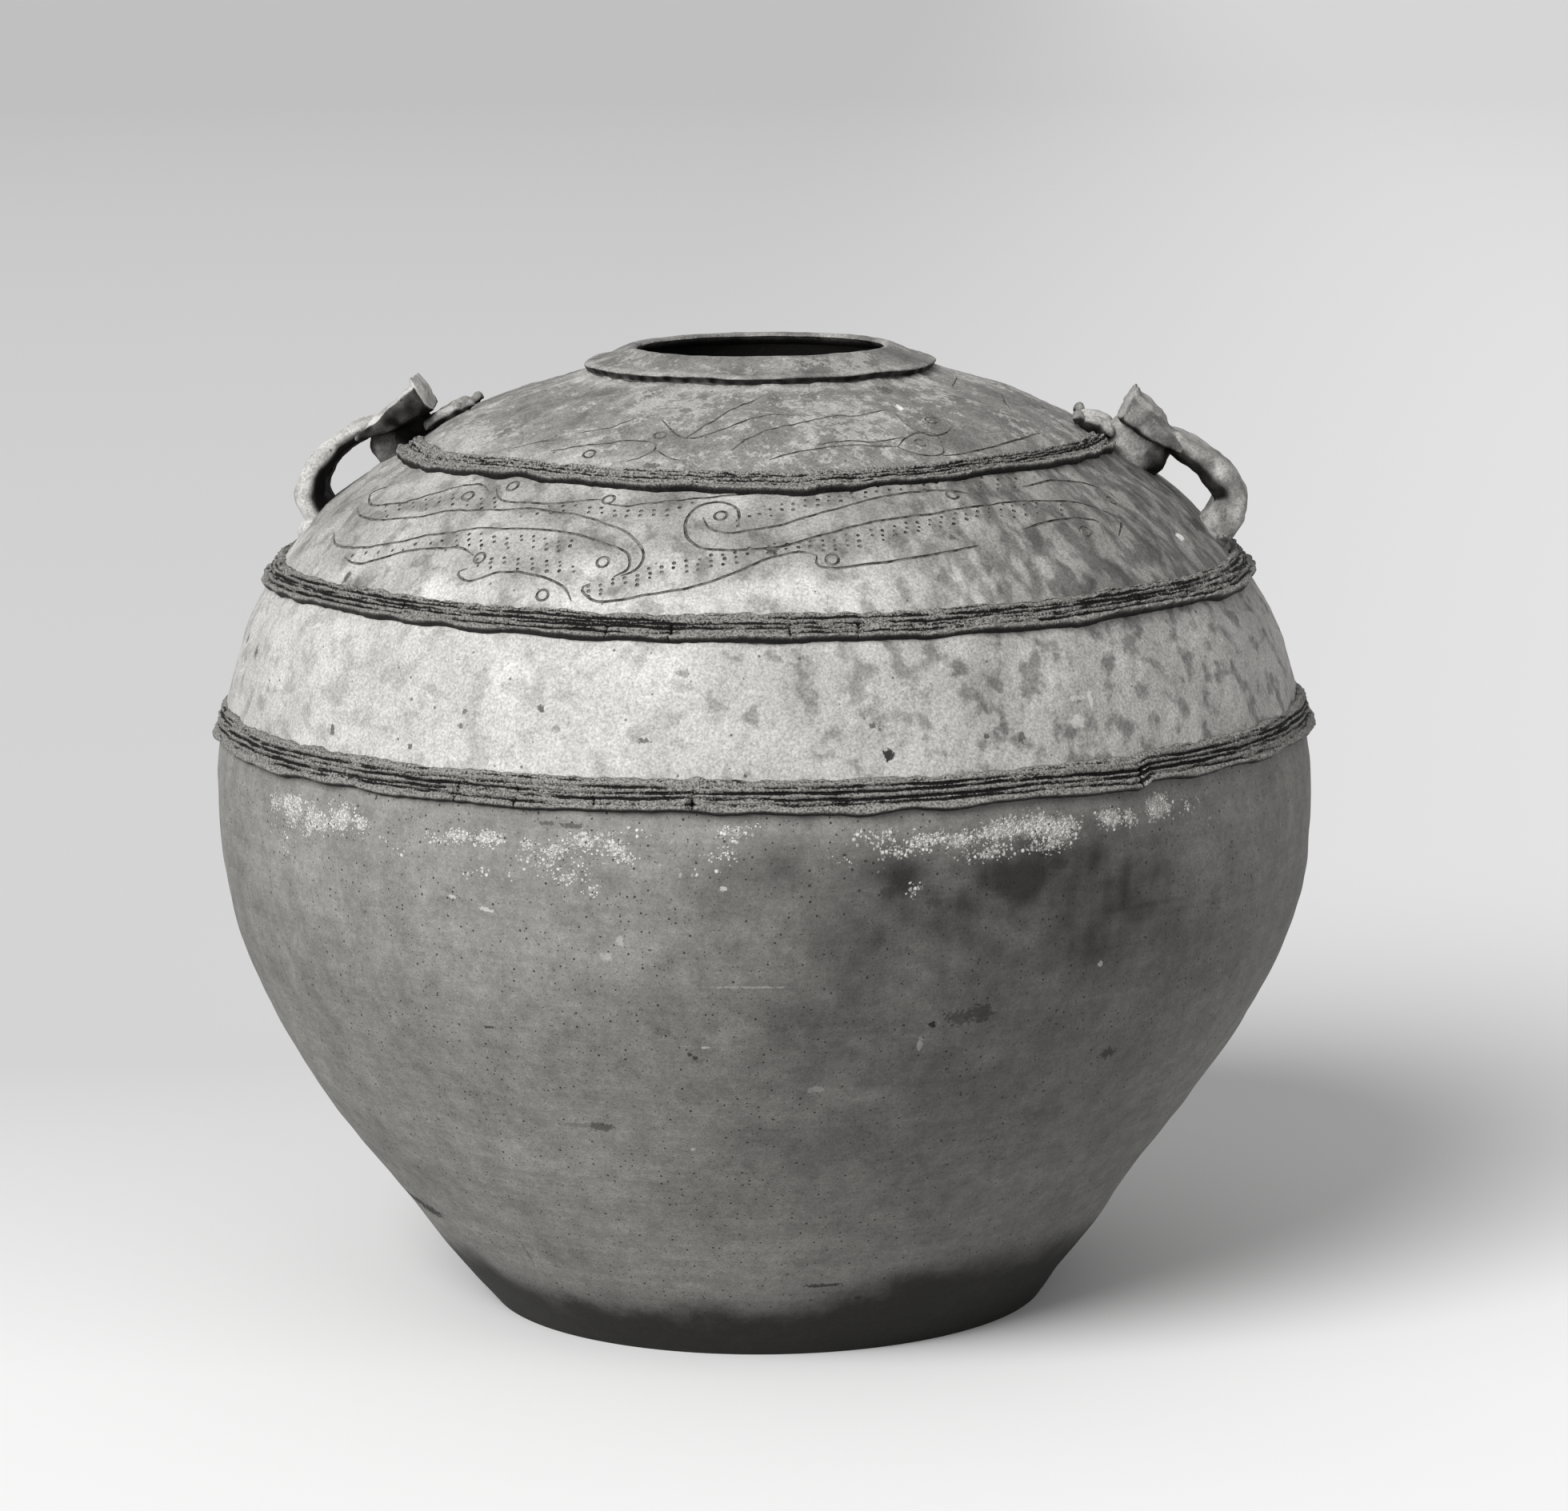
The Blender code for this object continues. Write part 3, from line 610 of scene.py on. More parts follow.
def bare_stoneware():
    """Unglazed high-fired clay of the lower body, wiped smooth with a wet hand before firing.

    It is matt and mid grey with soft clouds, faint level wiping marks, dark pin pricks, a crust of
    pale ash grains under the lower cordon and a near-black scorched foot.
    """
    clay, shader = new_material("bare_stoneware_clay")
    where = add_node(clay, "TexCoord").outputs["Object"]

    clouds = add_node(clay, "TexNoise",
        {"Vector": where, "Scale": 1 / CLAY_CLOUD_SIZE, "Detail": 5.0, "Roughness": 0.6})
    patches = add_node(clay, "TexNoise",
        {"Vector": where, "Scale": 1 / BLOTCH_SIZE, "Detail": 4.0, "Roughness": 0.65})
    veil = add_node(clay, "TexNoise",
        {"Vector": where, "Scale": 1 / ASH_VEIL_SIZE, "Detail": 5.0, "Roughness": 0.75})
    shade = add_node(clay, "Math", (add_node(clay, "MapRange", (clouds, *CLOUDED)),
        add_node(clay, "MapRange", (patches, *PATCHED))), operation="MULTIPLY")
    shade = add_node(clay, "Math",
        (shade, add_node(clay, "MapRange", (veil, *VEILED))), operation="MULTIPLY")
    base = add_node(clay, "Mix", {
        MIX_FACTOR: add_node(clay, "Attribute", attribute_name="tone").outputs["Fac"],
        MIX_FIRST: linear_colour(DARK_CLAY), MIX_SECOND: linear_colour(PALE_CLAY)}, data_type="RGBA")
    base = add_node(clay, "Mix", {
        MIX_FACTOR: add_node(clay, "Attribute", attribute_name="cloud").outputs["Fac"],
        MIX_FIRST: base, MIX_SECOND: linear_colour(SMOKED_CLAY)}, data_type="RGBA")

    # The scorched foot has a soft, cloudy upper edge
    edge = add_node(clay, "Math", (add_node(clay, "MapRange", (patches, *SCORCH_RAG)),
        add_node(clay, "Attribute", attribute_name="scorch").outputs["Fac"]), operation="ADD")
    base = add_node(clay, "Mix", {MIX_FACTOR: add_node(clay, "MapRange",
        (edge, *SCORCHED), **SMOOTH), MIX_FIRST: base,
        MIX_SECOND: linear_colour(SCORCHED_CLAY)}, data_type="RGBA")

    # Wiping marks lie level around the jar
    level = add_node(clay, "Mapping", {
        "Vector": where, "Scale": (1 / WIPE_LENGTH, 1 / WIPE_LENGTH, 1 / WIPE_HEIGHT)})
    wiping = add_node(clay, "TexNoise",
        {"Vector": level.outputs["Vector"], "Scale": 1.0, "Detail": 4.0, "Roughness": 0.6})
    wiped = add_node(clay, "MapRange", (wiping, *WIPED))
    grain = add_node(clay, "TexNoise",
        {"Vector": where, "Scale": 1 / CLAY_GRAIN_SIZE, "Detail": 3.0, "Roughness": 0.75})
    grained = add_node(clay, "MapRange", (grain, *GRAINED))
    shade = add_node(clay, "Math", (shade, add_node(clay, "Math", (wiped, grained), operation="MULTIPLY")),
        operation="MULTIPLY")
    base = add_node(clay, "Mix", {MIX_FACTOR: 1.0, MIX_FIRST: base, MIX_SECOND: shade},
        data_type="RGBA", blend_type="MULTIPLY")

    # A crust of ash: solid in the middle of each patch, and loose grains of two sizes around it
    density = add_node(clay, "Attribute", attribute_name="ash").outputs["Fac"]
    thick = add_node(clay, "MapRange", (add_node(clay, "Math",
        (density, add_node(clay, "MapRange", (veil, *ASH_RAG))), operation="ADD"),
        *ASH_SOLID), **SMOOTH)
    base = add_node(clay, "Mix", {
        MIX_FACTOR: add_node(clay, "Math", (thick, 0.56), operation="MULTIPLY"), MIX_FIRST: base,
        MIX_SECOND: linear_colour(ASH_CRUST)}, data_type="RGBA")
    beads = thick
    loose = add_node(clay, "Math", (add_node(clay, "MapRange", (density, *ASH_LOOSE), **SMOOTH),
        add_node(clay, "Math", (thick, 0.45), operation="MULTIPLY")), operation="ADD")
    for size in (ASH_GRAIN_SIZE, 0.58 * ASH_GRAIN_SIZE):
        cells = add_node(clay, "TexVoronoi", {"Vector": where, "Scale": 1 / size})
        chances = add_node(clay, "SeparateColor", {"Color": cells.outputs["Color"]})
        present = add_node(clay, "MapRange", (
            add_node(clay, "Math", (loose, chances.outputs["Red"]), operation="SUBTRACT"), 0.0,
            0.05, 0.0, 1.0), **SMOOTH)
        bead = add_node(clay, "MapRange", (cells.outputs["Distance"], *ASH_BEAD), **SMOOTH)
        grains = add_node(clay, "Math", (present, bead), operation="MULTIPLY")
        pale = add_node(clay, "Mix", {MIX_FACTOR: chances.outputs["Green"],
            MIX_FIRST: linear_colour(GREY_ASH), MIX_SECOND: linear_colour(WHITE_ASH)}, data_type="RGBA")
        base = add_node(clay, "Mix", {
            MIX_FACTOR: add_node(clay, "Math", (grains, 0.84), operation="MULTIPLY"),
            MIX_FIRST: base, MIX_SECOND: pale}, data_type="RGBA")
        beads = add_node(clay, "Math", (beads, grains), operation="ADD")

    # Pin pricks of two sizes, and marks
    pricks = 0.0
    for spacing, most in ((PRICK_SPACING, 0.85), (0.62 * PRICK_SPACING, 0.70)):
        holes = add_node(clay, "TexVoronoi", {"Vector": where, "Scale": 1 / spacing})
        sizes = add_node(clay, "SeparateColor", {"Color": holes.outputs["Color"]}).outputs["Red"]
        reach = add_node(clay, "MapRange", (sizes, *PRICK_REACH))
        inside = add_node(clay, "Math", (reach, holes.outputs["Distance"]), operation="SUBTRACT")
        pricks = add_node(clay, "Math", (pricks, add_node(clay, "MapRange",
            (inside, *PRICK_EDGE, 0.0, most), **SMOOTH)), operation="MAXIMUM")
    marks = add_node(clay, "Math", (pricks, worn_marks(clay, where, CLAY_SCARS)), operation="MAXIMUM")
    base = add_node(clay, "Mix",
        {MIX_FACTOR: marks, MIX_FIRST: base, MIX_SECOND: linear_colour(DARK_MARK)}, data_type="RGBA")
    base = add_node(clay, "Mix", {MIX_FACTOR: worn_marks(clay, where, CLAY_CHIPS),
        MIX_FIRST: base, MIX_SECOND: linear_colour(CLAY_CHIP)}, data_type="RGBA")
    plug(clay, base, shader.inputs["Base Color"])

    height = add_node(clay, "Math",
        (add_node(clay, "Math", (shade, beads), operation="ADD"), pricks), operation="SUBTRACT")
    relief = add_node(clay, "Bump", {"Strength": 0.8, "Distance": 0.0002, "Height": height})
    plug(clay, relief.outputs["Normal"], shader.inputs["Normal"])
    shader.inputs["Roughness"].default_value = 0.75
    shader.inputs["Specular IOR Level"].default_value = 0.3
    return clay


# Colours of the cordons
GLAZED_RIB = "4c4b48"
PALE_RIB = "9b9a96"
POOLED_GROOVE = "171615"
# Near black: painted shadow under the low edge, and dark bare clay along the high edge
CORDON_SHADOW_AND_DARK_EDGE = "0c0b0b"
# Spreads of its patterns, as for the glaze
RIB_BROKEN = (0.38, 0.60, 0.0, 1.0)
DASHED = (*NOISE_SPAN, -0.38, 0.38)
CRUSTED = (*NOISE_SPAN, 0.30, -0.30)
POOLS = (*NOISE_SPAN, -0.20, 0.20)
POOLED = (0.44, 0.74, 0.0, 1.0)


def cordon_clay():
    """Clay strip combed along its length, under thin dark glaze.

    Glaze pooled near black in its grooves and broke pale on its ribs, with a fine crust of ash.
    """
    clay, shader = new_material("combed_cordon_clay")
    where = add_node(clay, "TexCoord").outputs["Object"]
    along_wall = add_node(clay, "Attribute", attribute_name="wall_place").outputs["Vector"]
    stretched = add_node(clay, "Mapping", {
        "Vector": along_wall, "Scale": (1 / DASH_LENGTH, 1 / DASH_LENGTH, 1 / DASH_HEIGHT)})
    dashes = add_node(clay, "TexNoise",
        {"Vector": stretched.outputs["Vector"], "Scale": 1.0, "Detail": 4.0, "Roughness": 0.65})
    crust = add_node(clay, "TexNoise",
        {"Vector": where, "Scale": 1 / CRUST_SIZE, "Detail": 4.0, "Roughness": 0.75})
    broad = add_node(clay, "TexNoise",
        {"Vector": where, "Scale": 1 / DAPPLE_LENGTH, "Detail": 3.0, "Roughness": 0.6})

    rib = add_node(clay, "Mix", {MIX_FACTOR: add_node(clay, "MapRange",
        (crust, *RIB_BROKEN), **SMOOTH), MIX_FIRST: linear_colour(GLAZED_RIB),
        MIX_SECOND: linear_colour(PALE_RIB)}, data_type="RGBA")
    rough = add_node(clay, "Math", (add_node(clay, "MapRange", (dashes, *DASHED)),
        add_node(clay, "MapRange", (crust, *CRUSTED))), operation="ADD")
    rough = add_node(clay, "Math", (rough, add_node(clay, "MapRange", (broad, *POOLS))), operation="ADD")
    depth = add_node(clay, "Math",
        (add_node(clay, "Attribute", attribute_name="groove").outputs["Fac"], rough),
        operation="ADD")
    pooled = add_node(clay, "MapRange", (depth, *POOLED), **SMOOTH)
    combed = add_node(clay, "Mix",
        {MIX_FACTOR: pooled, MIX_FIRST: rib, MIX_SECOND: linear_colour(POOLED_GROOVE)}, data_type="RGBA")
    # Painted shadow along the low edge, and dark bare clay along the high edge
    shadow = add_node(clay, "Mix", {
        MIX_FACTOR: add_node(clay, "Attribute", attribute_name="bare_and_shade").outputs["Fac"],
        MIX_FIRST: combed, MIX_SECOND: linear_colour(CORDON_SHADOW_AND_DARK_EDGE)}, data_type="RGBA")
    plug(clay, shadow, shader.inputs["Base Color"])
    relief = add_node(clay, "Bump", {"Strength": 0.8, "Distance": 0.0003, "Height": crust})
    plug(clay, relief.outputs["Normal"], shader.inputs["Normal"])
    shader.inputs["Roughness"].default_value = 0.65
    shader.inputs["Specular IOR Level"].default_value = 0.12
    return clay


# Colours of the incised lines
DARK_LINE = "3a3937"
PALE_LINE = "82817d"
# Spreads of its patterns, as for the glaze
LINE_PATCHES = (0.35, 0.65, 0.0, 1.0)


def pooled_line():
    """Glaze that ran dark into the incised lines and pricked dots."""
    dark, shader = new_material("pooled_glaze_line")
    where = add_node(dark, "TexCoord").outputs["Object"]
    grain = add_node(dark, "TexNoise",
        {"Vector": where, "Scale": 1 / MOTTLE_SIZE, "Detail": 5.0, "Roughness": 0.7})
    colour = add_node(dark, "Mix", {MIX_FACTOR: add_node(dark, "MapRange",
        (grain, *LINE_PATCHES), **SMOOTH), MIX_FIRST: linear_colour(DARK_LINE),
        MIX_SECOND: linear_colour(PALE_LINE)}, data_type="RGBA")
    plug(dark, colour, shader.inputs["Base Color"])
    shader.inputs["Roughness"].default_value = 0.7
    shader.inputs["Specular IOR Level"].default_value = 0.15
    return dark


# Colours of the paper: in front, what other pieces see, and the two sides behind the jar, whose greys are
# painted light falloff
PAPER_WHITE = "f1f1f1"
PAPER_BOUNCE = "a0a0a0"
LEFT_FAR_GREY = "b9b9b9"
RIGHT_NEAR_GREY = "e2e2e2"
LEFT_NEAR_GREY = "cecece"
RIGHT_FAR_GREY = "cecece"


def studio_paper():
    """Matt white studio paper of the floor, with painted light: bright in front of the jar, greyer behind
    it.

    Other pieces get less light back from it than it shows, as in a dark room.
    """
    paper, shader = new_material("studio_paper")
    where = add_node(paper, "TexCoord").outputs["Object"]
    place = add_node(paper, "SeparateXYZ", {"Vector": where})
    distance = add_node(paper, "VectorMath", {0: where}, operation="LENGTH").outputs["Value"]
    behind = add_node(paper, "MapRange", (place.outputs["Y"], PAPER_FRONT, PAPER_BACK, 0.0, 1.0))
    far = add_node(paper, "MapRange", (distance, PAPER_BACK, PAPER_FAR, 0.0, 1.0))
    side = add_node(paper, "MapRange", (place.outputs["X"], PAPER_LEFT, PAPER_RIGHT, 0.0, 1.0), **SMOOTH)
    left = add_node(paper, "Mix", {MIX_FACTOR: far, MIX_FIRST: linear_colour(LEFT_NEAR_GREY),
         MIX_SECOND: linear_colour(LEFT_FAR_GREY)}, data_type="RGBA")
    right = add_node(paper, "Mix", {MIX_FACTOR: far, MIX_FIRST: linear_colour(RIGHT_NEAR_GREY),
         MIX_SECOND: linear_colour(RIGHT_FAR_GREY)}, data_type="RGBA")
    ground = add_node(paper, "Mix", {MIX_FACTOR: behind, MIX_FIRST: linear_colour(PAPER_WHITE),
        MIX_SECOND: add_node(paper, "Mix", {MIX_FACTOR: side, MIX_FIRST: left, MIX_SECOND: right},
            data_type="RGBA")}, data_type="RGBA")
    path = add_node(paper, "LightPath")
    seen = add_node(paper, "Math", (add_node(paper, "Math",
        (path.outputs["Is Camera Ray"], path.outputs["Is Glossy Ray"]), operation="MAXIMUM"),
        path.outputs["Is Transmission Ray"]), operation="MAXIMUM")
    shown = add_node(paper, "Mix",
        {MIX_FACTOR: seen, MIX_FIRST: linear_colour(PAPER_BOUNCE), MIX_SECOND: ground}, data_type="RGBA")
    plug(paper, shown, shader.inputs["Base Color"])
    shader.inputs["Roughness"].default_value = 0.9
    shader.inputs["Specular IOR Level"].default_value = 0.0
    return paper


# Lighting: a soft key from the upper left in front, and a pale studio all round
PAPER_SIZE = 120.0
PAPER_FRONT = -0.12
PAPER_BACK = 0.32
PAPER_FAR = 8.0
PAPER_LEFT = -0.35
PAPER_RIGHT = 0.65
KEY_AZIMUTH = math.radians(32.0)
KEY_ELEVATION = math.radians(37.0)
KEY_SPREAD = math.radians(34.0)
KEY_STRENGTH = 3.11
STUDIO_STRENGTH = 0.49
HORIZON_STRENGTH = 0.56


def build_stage():
    """Floor, key light, studio and camera."""
    bpy.ops.object.select_all(action="DESELECT")
    bpy.ops.mesh.primitive_circle_add(vertices=96, radius=PAPER_SIZE, fill_type="NGON")
    floor = bpy.context.object
    floor.name = "studio_floor"
    floor.data.materials.append(studio_paper())

    bpy.ops.object.light_add(type="SUN")
    key = bpy.context.object
    key.name = "key_light"
    key.data.energy = KEY_STRENGTH
    key.data.angle = KEY_SPREAD
    key.rotation_euler = (math.pi / 2 - KEY_ELEVATION, 0.0, -KEY_AZIMUTH)

    world = bpy.data.worlds.new("studio")
    bpy.context.scene.world = world
    world.use_nodes = True
    background = world.node_tree.nodes["Background"]
    path = add_node(world, "LightPath")
    seen = add_node(world, "Math", (add_node(world, "Math",
        (path.outputs["Is Camera Ray"], path.outputs["Is Glossy Ray"]), operation="MAXIMUM"),
        path.outputs["Is Transmission Ray"]), operation="MAXIMUM")
    strength = add_node(world, "MapRange", (seen, 0.0, 1.0, STUDIO_STRENGTH, HORIZON_STRENGTH))
    background.inputs["Color"].default_value = (1.0, 1.0, 1.0, 1.0)
    plug(world, strength, background.inputs["Strength"])

    bpy.ops.object.camera_add()
    camera = bpy.context.object
    camera.name = "camera"
    camera.matrix_world = camera_matrix()
    camera.data.lens = CAMERA_LENS
    camera.data.sensor_width = SENSOR_WIDTH
    camera.data.clip_end = 2 * PAPER_SIZE
    bpy.context.scene.camera = camera
    bpy.context.scene.view_settings.view_transform = "Standard"


def finish_piece(piece, slot, *nodes):
    """Attach a piece to the root body and hide the parts it stands in for."""
    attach(piece, "root")
    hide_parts(*nodes)


def section_spots(start, end, rows, lining_rows):
    """Places and depths around a wall section between two joints, each stepped across the wall."""
    outside = [(place, 0.0) for place in np.linspace(start, end, rows + 1)]
    top = [(end, WALL / 2), (end + JOINT_STEP, WALL / 2)]
    inside = [(place, WALL) for place in np.linspace(end + JOINT_STEP, start + JOINT_STEP, lining_rows + 1)]
    bottom = [(start + JOINT_STEP, WALL / 2), (start, WALL / 2)]
    return outside + top + inside + bottom


# Marks on the lower body: pixel in the photograph, half lengths around and up the wall, and strength
ASH_PATCHES = (
    ((345, 1003), 0.006, 0.0034, 0.7), ((366, 1010), 0.008, 0.005, 0.98),
    ((392, 1024), 0.0078, 0.0052, 1.0), ((424, 1022), 0.0078, 0.0054, 0.98),
    ((447, 1030), 0.006, 0.0036, 0.72), ((380, 1044), 0.006, 0.003, 0.44),
    ((545, 1048), 0.006, 0.0024, 0.44), ((572, 1046), 0.007, 0.0028, 0.72),
    ((608, 1049), 0.0076, 0.003, 0.68), ((655, 1056), 0.007, 0.0028, 0.56),
    ((690, 1064), 0.007, 0.0028, 0.62), ((732, 1052), 0.0085, 0.004, 0.8),
    ((768, 1062), 0.006, 0.0034, 0.72), ((785, 1074), 0.004, 0.002, 0.72),
    ((640, 1092), 0.006, 0.003, 0.46), ((596, 1092), 0.0065, 0.0028, 0.5),
    ((704, 1100), 0.0065, 0.0032, 0.56), ((735, 1112), 0.0045, 0.0026, 0.5),
    ((920, 1040), 0.011, 0.0044, 0.44), ((905, 1072), 0.008, 0.004, 0.4),
    ((1095, 1046), 0.0085, 0.0034, 0.66), ((1150, 1052), 0.009, 0.0036, 0.62),
    ((1196, 1050), 0.009, 0.0038, 0.66), ((1240, 1040), 0.0105, 0.0052, 0.78),
    ((1290, 1032), 0.011, 0.005, 0.8), ((1332, 1036), 0.008, 0.0044, 0.74),
    ((1388, 1022), 0.006, 0.004, 0.76), ((1412, 1020), 0.006, 0.0032, 0.72),
    ((1446, 1008), 0.008, 0.0044, 0.84), ((1490, 1004), 0.008, 0.0036, 0.5),
    ((1230, 1064), 0.012, 0.004, 0.5), ((1130, 1066), 0.012, 0.0036, 0.42),
    ((1310, 1056), 0.01, 0.0036, 0.52), ((1060, 1080), 0.014, 0.007, 0.24),
    ((860, 1090), 0.018, 0.008, 0.22), ((480, 1055), 0.018, 0.006, 0.3), ((680, 1075), 0.03, 0.009, 0.28),
    ((1250, 1055), 0.036, 0.007, 0.26), ((350, 1050), 0.012, 0.007, 0.3),
    ((1138, 1112), 0.005, 0.003, 0.46), ((1500, 1025), 0.018, 0.006, 0.22),
    ((780, 1045), 0.01, 0.0036, 0.4),
)
DARK_CLOUDS = (
    ((1270, 1130), 0.052, 0.024, 0.64), ((1370, 1100), 0.026, 0.022, 0.5), ((1130, 1170), 0.04, 0.024, 0.4),
    ((1090, 1290), 0.06, 0.026, 0.36), ((960, 1092), 0.022, 0.008, 0.28), ((880, 1330), 0.05, 0.024, 0.2),
    ((1420, 1160), 0.032, 0.034, 0.38), ((1300, 1360), 0.06, 0.03, 0.22),
    ((1250, 1110), 0.014, 0.008, 0.34), ((1135, 1100), 0.012, 0.008, 0.34),
    ((1092, 1160), 0.009, 0.01, 0.28), ((1060, 1420), 0.06, 0.03, 0.16), ((1200, 1085), 0.03, 0.007, 0.34),
    ((1330, 1072), 0.024, 0.007, 0.36), ((1010, 1075), 0.018, 0.008, 0.24),
    ((900, 1150), 0.012, 0.012, 0.16), ((730, 1150), 0.01, 0.008, 0.14), ((620, 1090), 0.014, 0.008, 0.12),
)
CLAY_SCARS = (
    ((1202, 1272), 0.0056, 0.0027, 0.62), ((1226, 1266), 0.004, 0.0034, 0.68),
    ((1165, 1281), 0.0013, 0.0013, 1.0), ((1383, 1316), 0.0032, 0.0022, 0.72),
    ((752, 1409), 0.0046, 0.0019, 0.62), ((722, 1407), 0.0062, 0.001, 0.3),
    ((1027, 1607), 0.007, 0.0009, 0.8), ((1072, 1622), 0.0013, 0.001, 0.8),
    ((684, 1029), 0.003, 0.0007, 0.55), ((715, 1032), 0.0045, 0.0009, 0.6),
    ((518, 1499), 0.014, 0.0018, 0.9), ((536, 1512), 0.009, 0.0026, 0.92),
    ((612, 1284), 0.0022, 0.0005, 0.8), ((828, 1290), 0.003, 0.0018, 0.36),
    ((975, 1286), 0.0022, 0.0016, 0.34), ((660, 1566), 0.0006, 0.0062, 0.34),
    ((1168, 1128), 0.003, 0.0018, 0.45), ((862, 1319), 0.0008, 0.0008, 0.8),
    ((1440, 1130), 0.02, 0.001, 0.2), ((869, 1323), 0.0008, 0.0008, 0.8),
    ((1110, 1116), 0.0026, 0.0022, 0.45), ((1323, 1080), 0.004, 0.0018, 0.5),
)
CLAY_CHIPS = (
    ((604, 1136), 0.0016, 0.0006, 0.8), ((612, 1139), 0.0018, 0.0004, 0.8),
    ((565, 1121), 0.0016, 0.0006, 0.8), ((881, 1310), 0.0014, 0.0006, 0.7),
    ((867, 1436), 0.0009, 0.0009, 0.8), ((1020, 1362), 0.0022, 0.0016, 0.3),
    ((1150, 1305), 0.0009, 0.0028, 0.36), ((904, 1111), 0.0016, 0.0007, 0.7),
    ((935, 1234), 0.013, 0.0004, 0.26), ((1376, 1205), 0.001, 0.001, 0.6),
    ((776, 1176), 0.0014, 0.0016, 0.5), ((758, 1196), 0.002, 0.0014, 0.36),
)


# Marks on the glaze, given in the same way
GLAZE_PITS = (
    ((1110, 944), 0.0018, 0.002, 1.0), ((855, 841), 0.0022, 0.0018, 0.5),
    ((965, 688), 0.0024, 0.0018, 0.85), ((309, 798), 0.003, 0.0019, 0.8), ((318, 816), 0.0028, 0.0018, 0.7),
    ((432, 722), 0.0012, 0.0026, 0.75), ((676, 886), 0.0015, 0.0012, 0.8),
    ((805, 926), 0.0021, 0.0009, 0.75), ((576, 907), 0.001, 0.001, 0.7), ((510, 934), 0.0012, 0.0011, 0.75),
    ((581, 889), 0.001, 0.0012, 0.65), ((414, 912), 0.0014, 0.0017, 0.75),
    ((695, 911), 0.0017, 0.0014, 0.45), ((1277, 921), 0.0013, 0.0022, 0.7),
    ((1091, 907), 0.0011, 0.001, 0.75), ((1233, 920), 0.0011, 0.001, 0.75),
    ((1499, 657), 0.006, 0.0034, 0.6), ((1520, 664), 0.007, 0.0034, 0.7), ((1528, 682), 0.006, 0.004, 0.75),
    ((1545, 690), 0.008, 0.006, 0.6), ((1190, 672), 0.0012, 0.0012, 0.6), ((859, 513), 0.0026, 0.0024, 0.6),
    ((1100, 487), 0.0034, 0.003, 0.62), ((815, 582), 0.003, 0.0016, 0.7),
)
GLAZE_CHIPS = (
    ((1476, 671), 0.0024, 0.0016, 0.9), ((1122, 509), 0.0011, 0.0024, 0.84),
    ((1345, 872), 0.0032, 0.001, 0.4), ((1362, 874), 0.001, 0.0028, 0.4),
    ((1346, 902), 0.0026, 0.0022, 0.36), ((640, 770), 0.0012, 0.001, 0.7),
)
# Upper edge of the scorched foot, by its pixels in the photograph
FOOT_EDGE = (
    (560, 1550), (600, 1572), (640, 1594), (690, 1612), (750, 1622), (840, 1632), (920, 1634), (1000, 1626),
    (1060, 1616), (1110, 1598), (1160, 1582), (1210, 1572), (1270, 1566), (1330, 1548),
)
FOOT_FADE = 0.0150
FOOT_WANDER = 0.0012
FOOT_WANDER_LENGTH = 0.012
LOWER_BODY_STEPS = 640
LOWER_BODY_ROWS = 116
LOWER_LINING_ROWS = 20
PALE_BAND = 0.010
WIPE_RELIEF = 0.00006
HAND_RELIEF = 0.00022
# Wiping lies level, so its relief is stretched around the jar
LEVEL_STRETCH = (0.12, 0.12, 1.0)
WIPE_STEP = 0.0035
HAND_STEP = 0.016
HAND_BROAD = 0.030
PLAIN_FOOT = 0.012
ASH_SPREAD = 0.0050
ASH_STRENGTH = 1.12
ASH_CHANGE = 0.22
ASH_LIMITS = (0.3, 1.3)
NO_ASH = -0.5
CLOUD_SPREAD = 0.011
CLOUD_GRAIN = 0.004
CLOUD_CHANGES = (0.14, 0.08)
CLOUD_LIMITS = (0.4, 1.4)
# Tone of the clay around the jar, in degrees to the right of its front, and further down
CLAY_TONE = 0.46
CLAY_DARKENING = (-20.0, 35.0)
CLAY_RIGHT_LESS = 0.20
# Paler towards the right edge: painted bounce light
CLAY_EDGE_LIGHT_FROM = (52.0, 82.0)
CLAY_EDGE_PAINTED_LIGHT = 0.18
CLAY_LOW = (0.055, 0.150)
CLAY_LOW_MORE = 0.16
PALE_BAND_EDGE = (-0.004, 0.002)
PALE_BAND_MORE = 0.07
PALE_BAND_CLOUD_LESS = 0.55
TONE_SPREAD = 0.045
TONE_CHANGE = 0.05
LEAST_ASH = 0.02

# The underside's rings, left by the wire that cut the slab off the wheel
SLAB_ROWS = 60
SLAB_STEPS = 240
RING_CENTRE = (0.030, 0.012)
RING_HEIGHT = 0.0002
RING_LENGTH = 0.0016
RING_END = 0.002
SLAB_TONE = 0.25
SLAB_SCORCH = 0.42


def lateral_angles(angles):
    """Degrees to the right of the photographed front, the back being like the front."""
    across = (angles - FRONT + math.pi) % (2 * math.pi) - math.pi
    return np.degrees(np.where(np.abs(across) > math.pi / 2, across - np.sign(across) * math.pi, across))


def spotted(angles, places, spots):
    """Strength of a list of spots at each place: the strongest one, the back being like the front."""
    strength = np.zeros(len(angles))
    for pixel, along, across, most in spots:
        angle, place = wall_spot(pixel)
        for turn in (0.0, math.pi):
            near = nearness(angles, places, (angle + turn, place), along, across)
            strength = np.maximum(strength, most * near)
    return strength


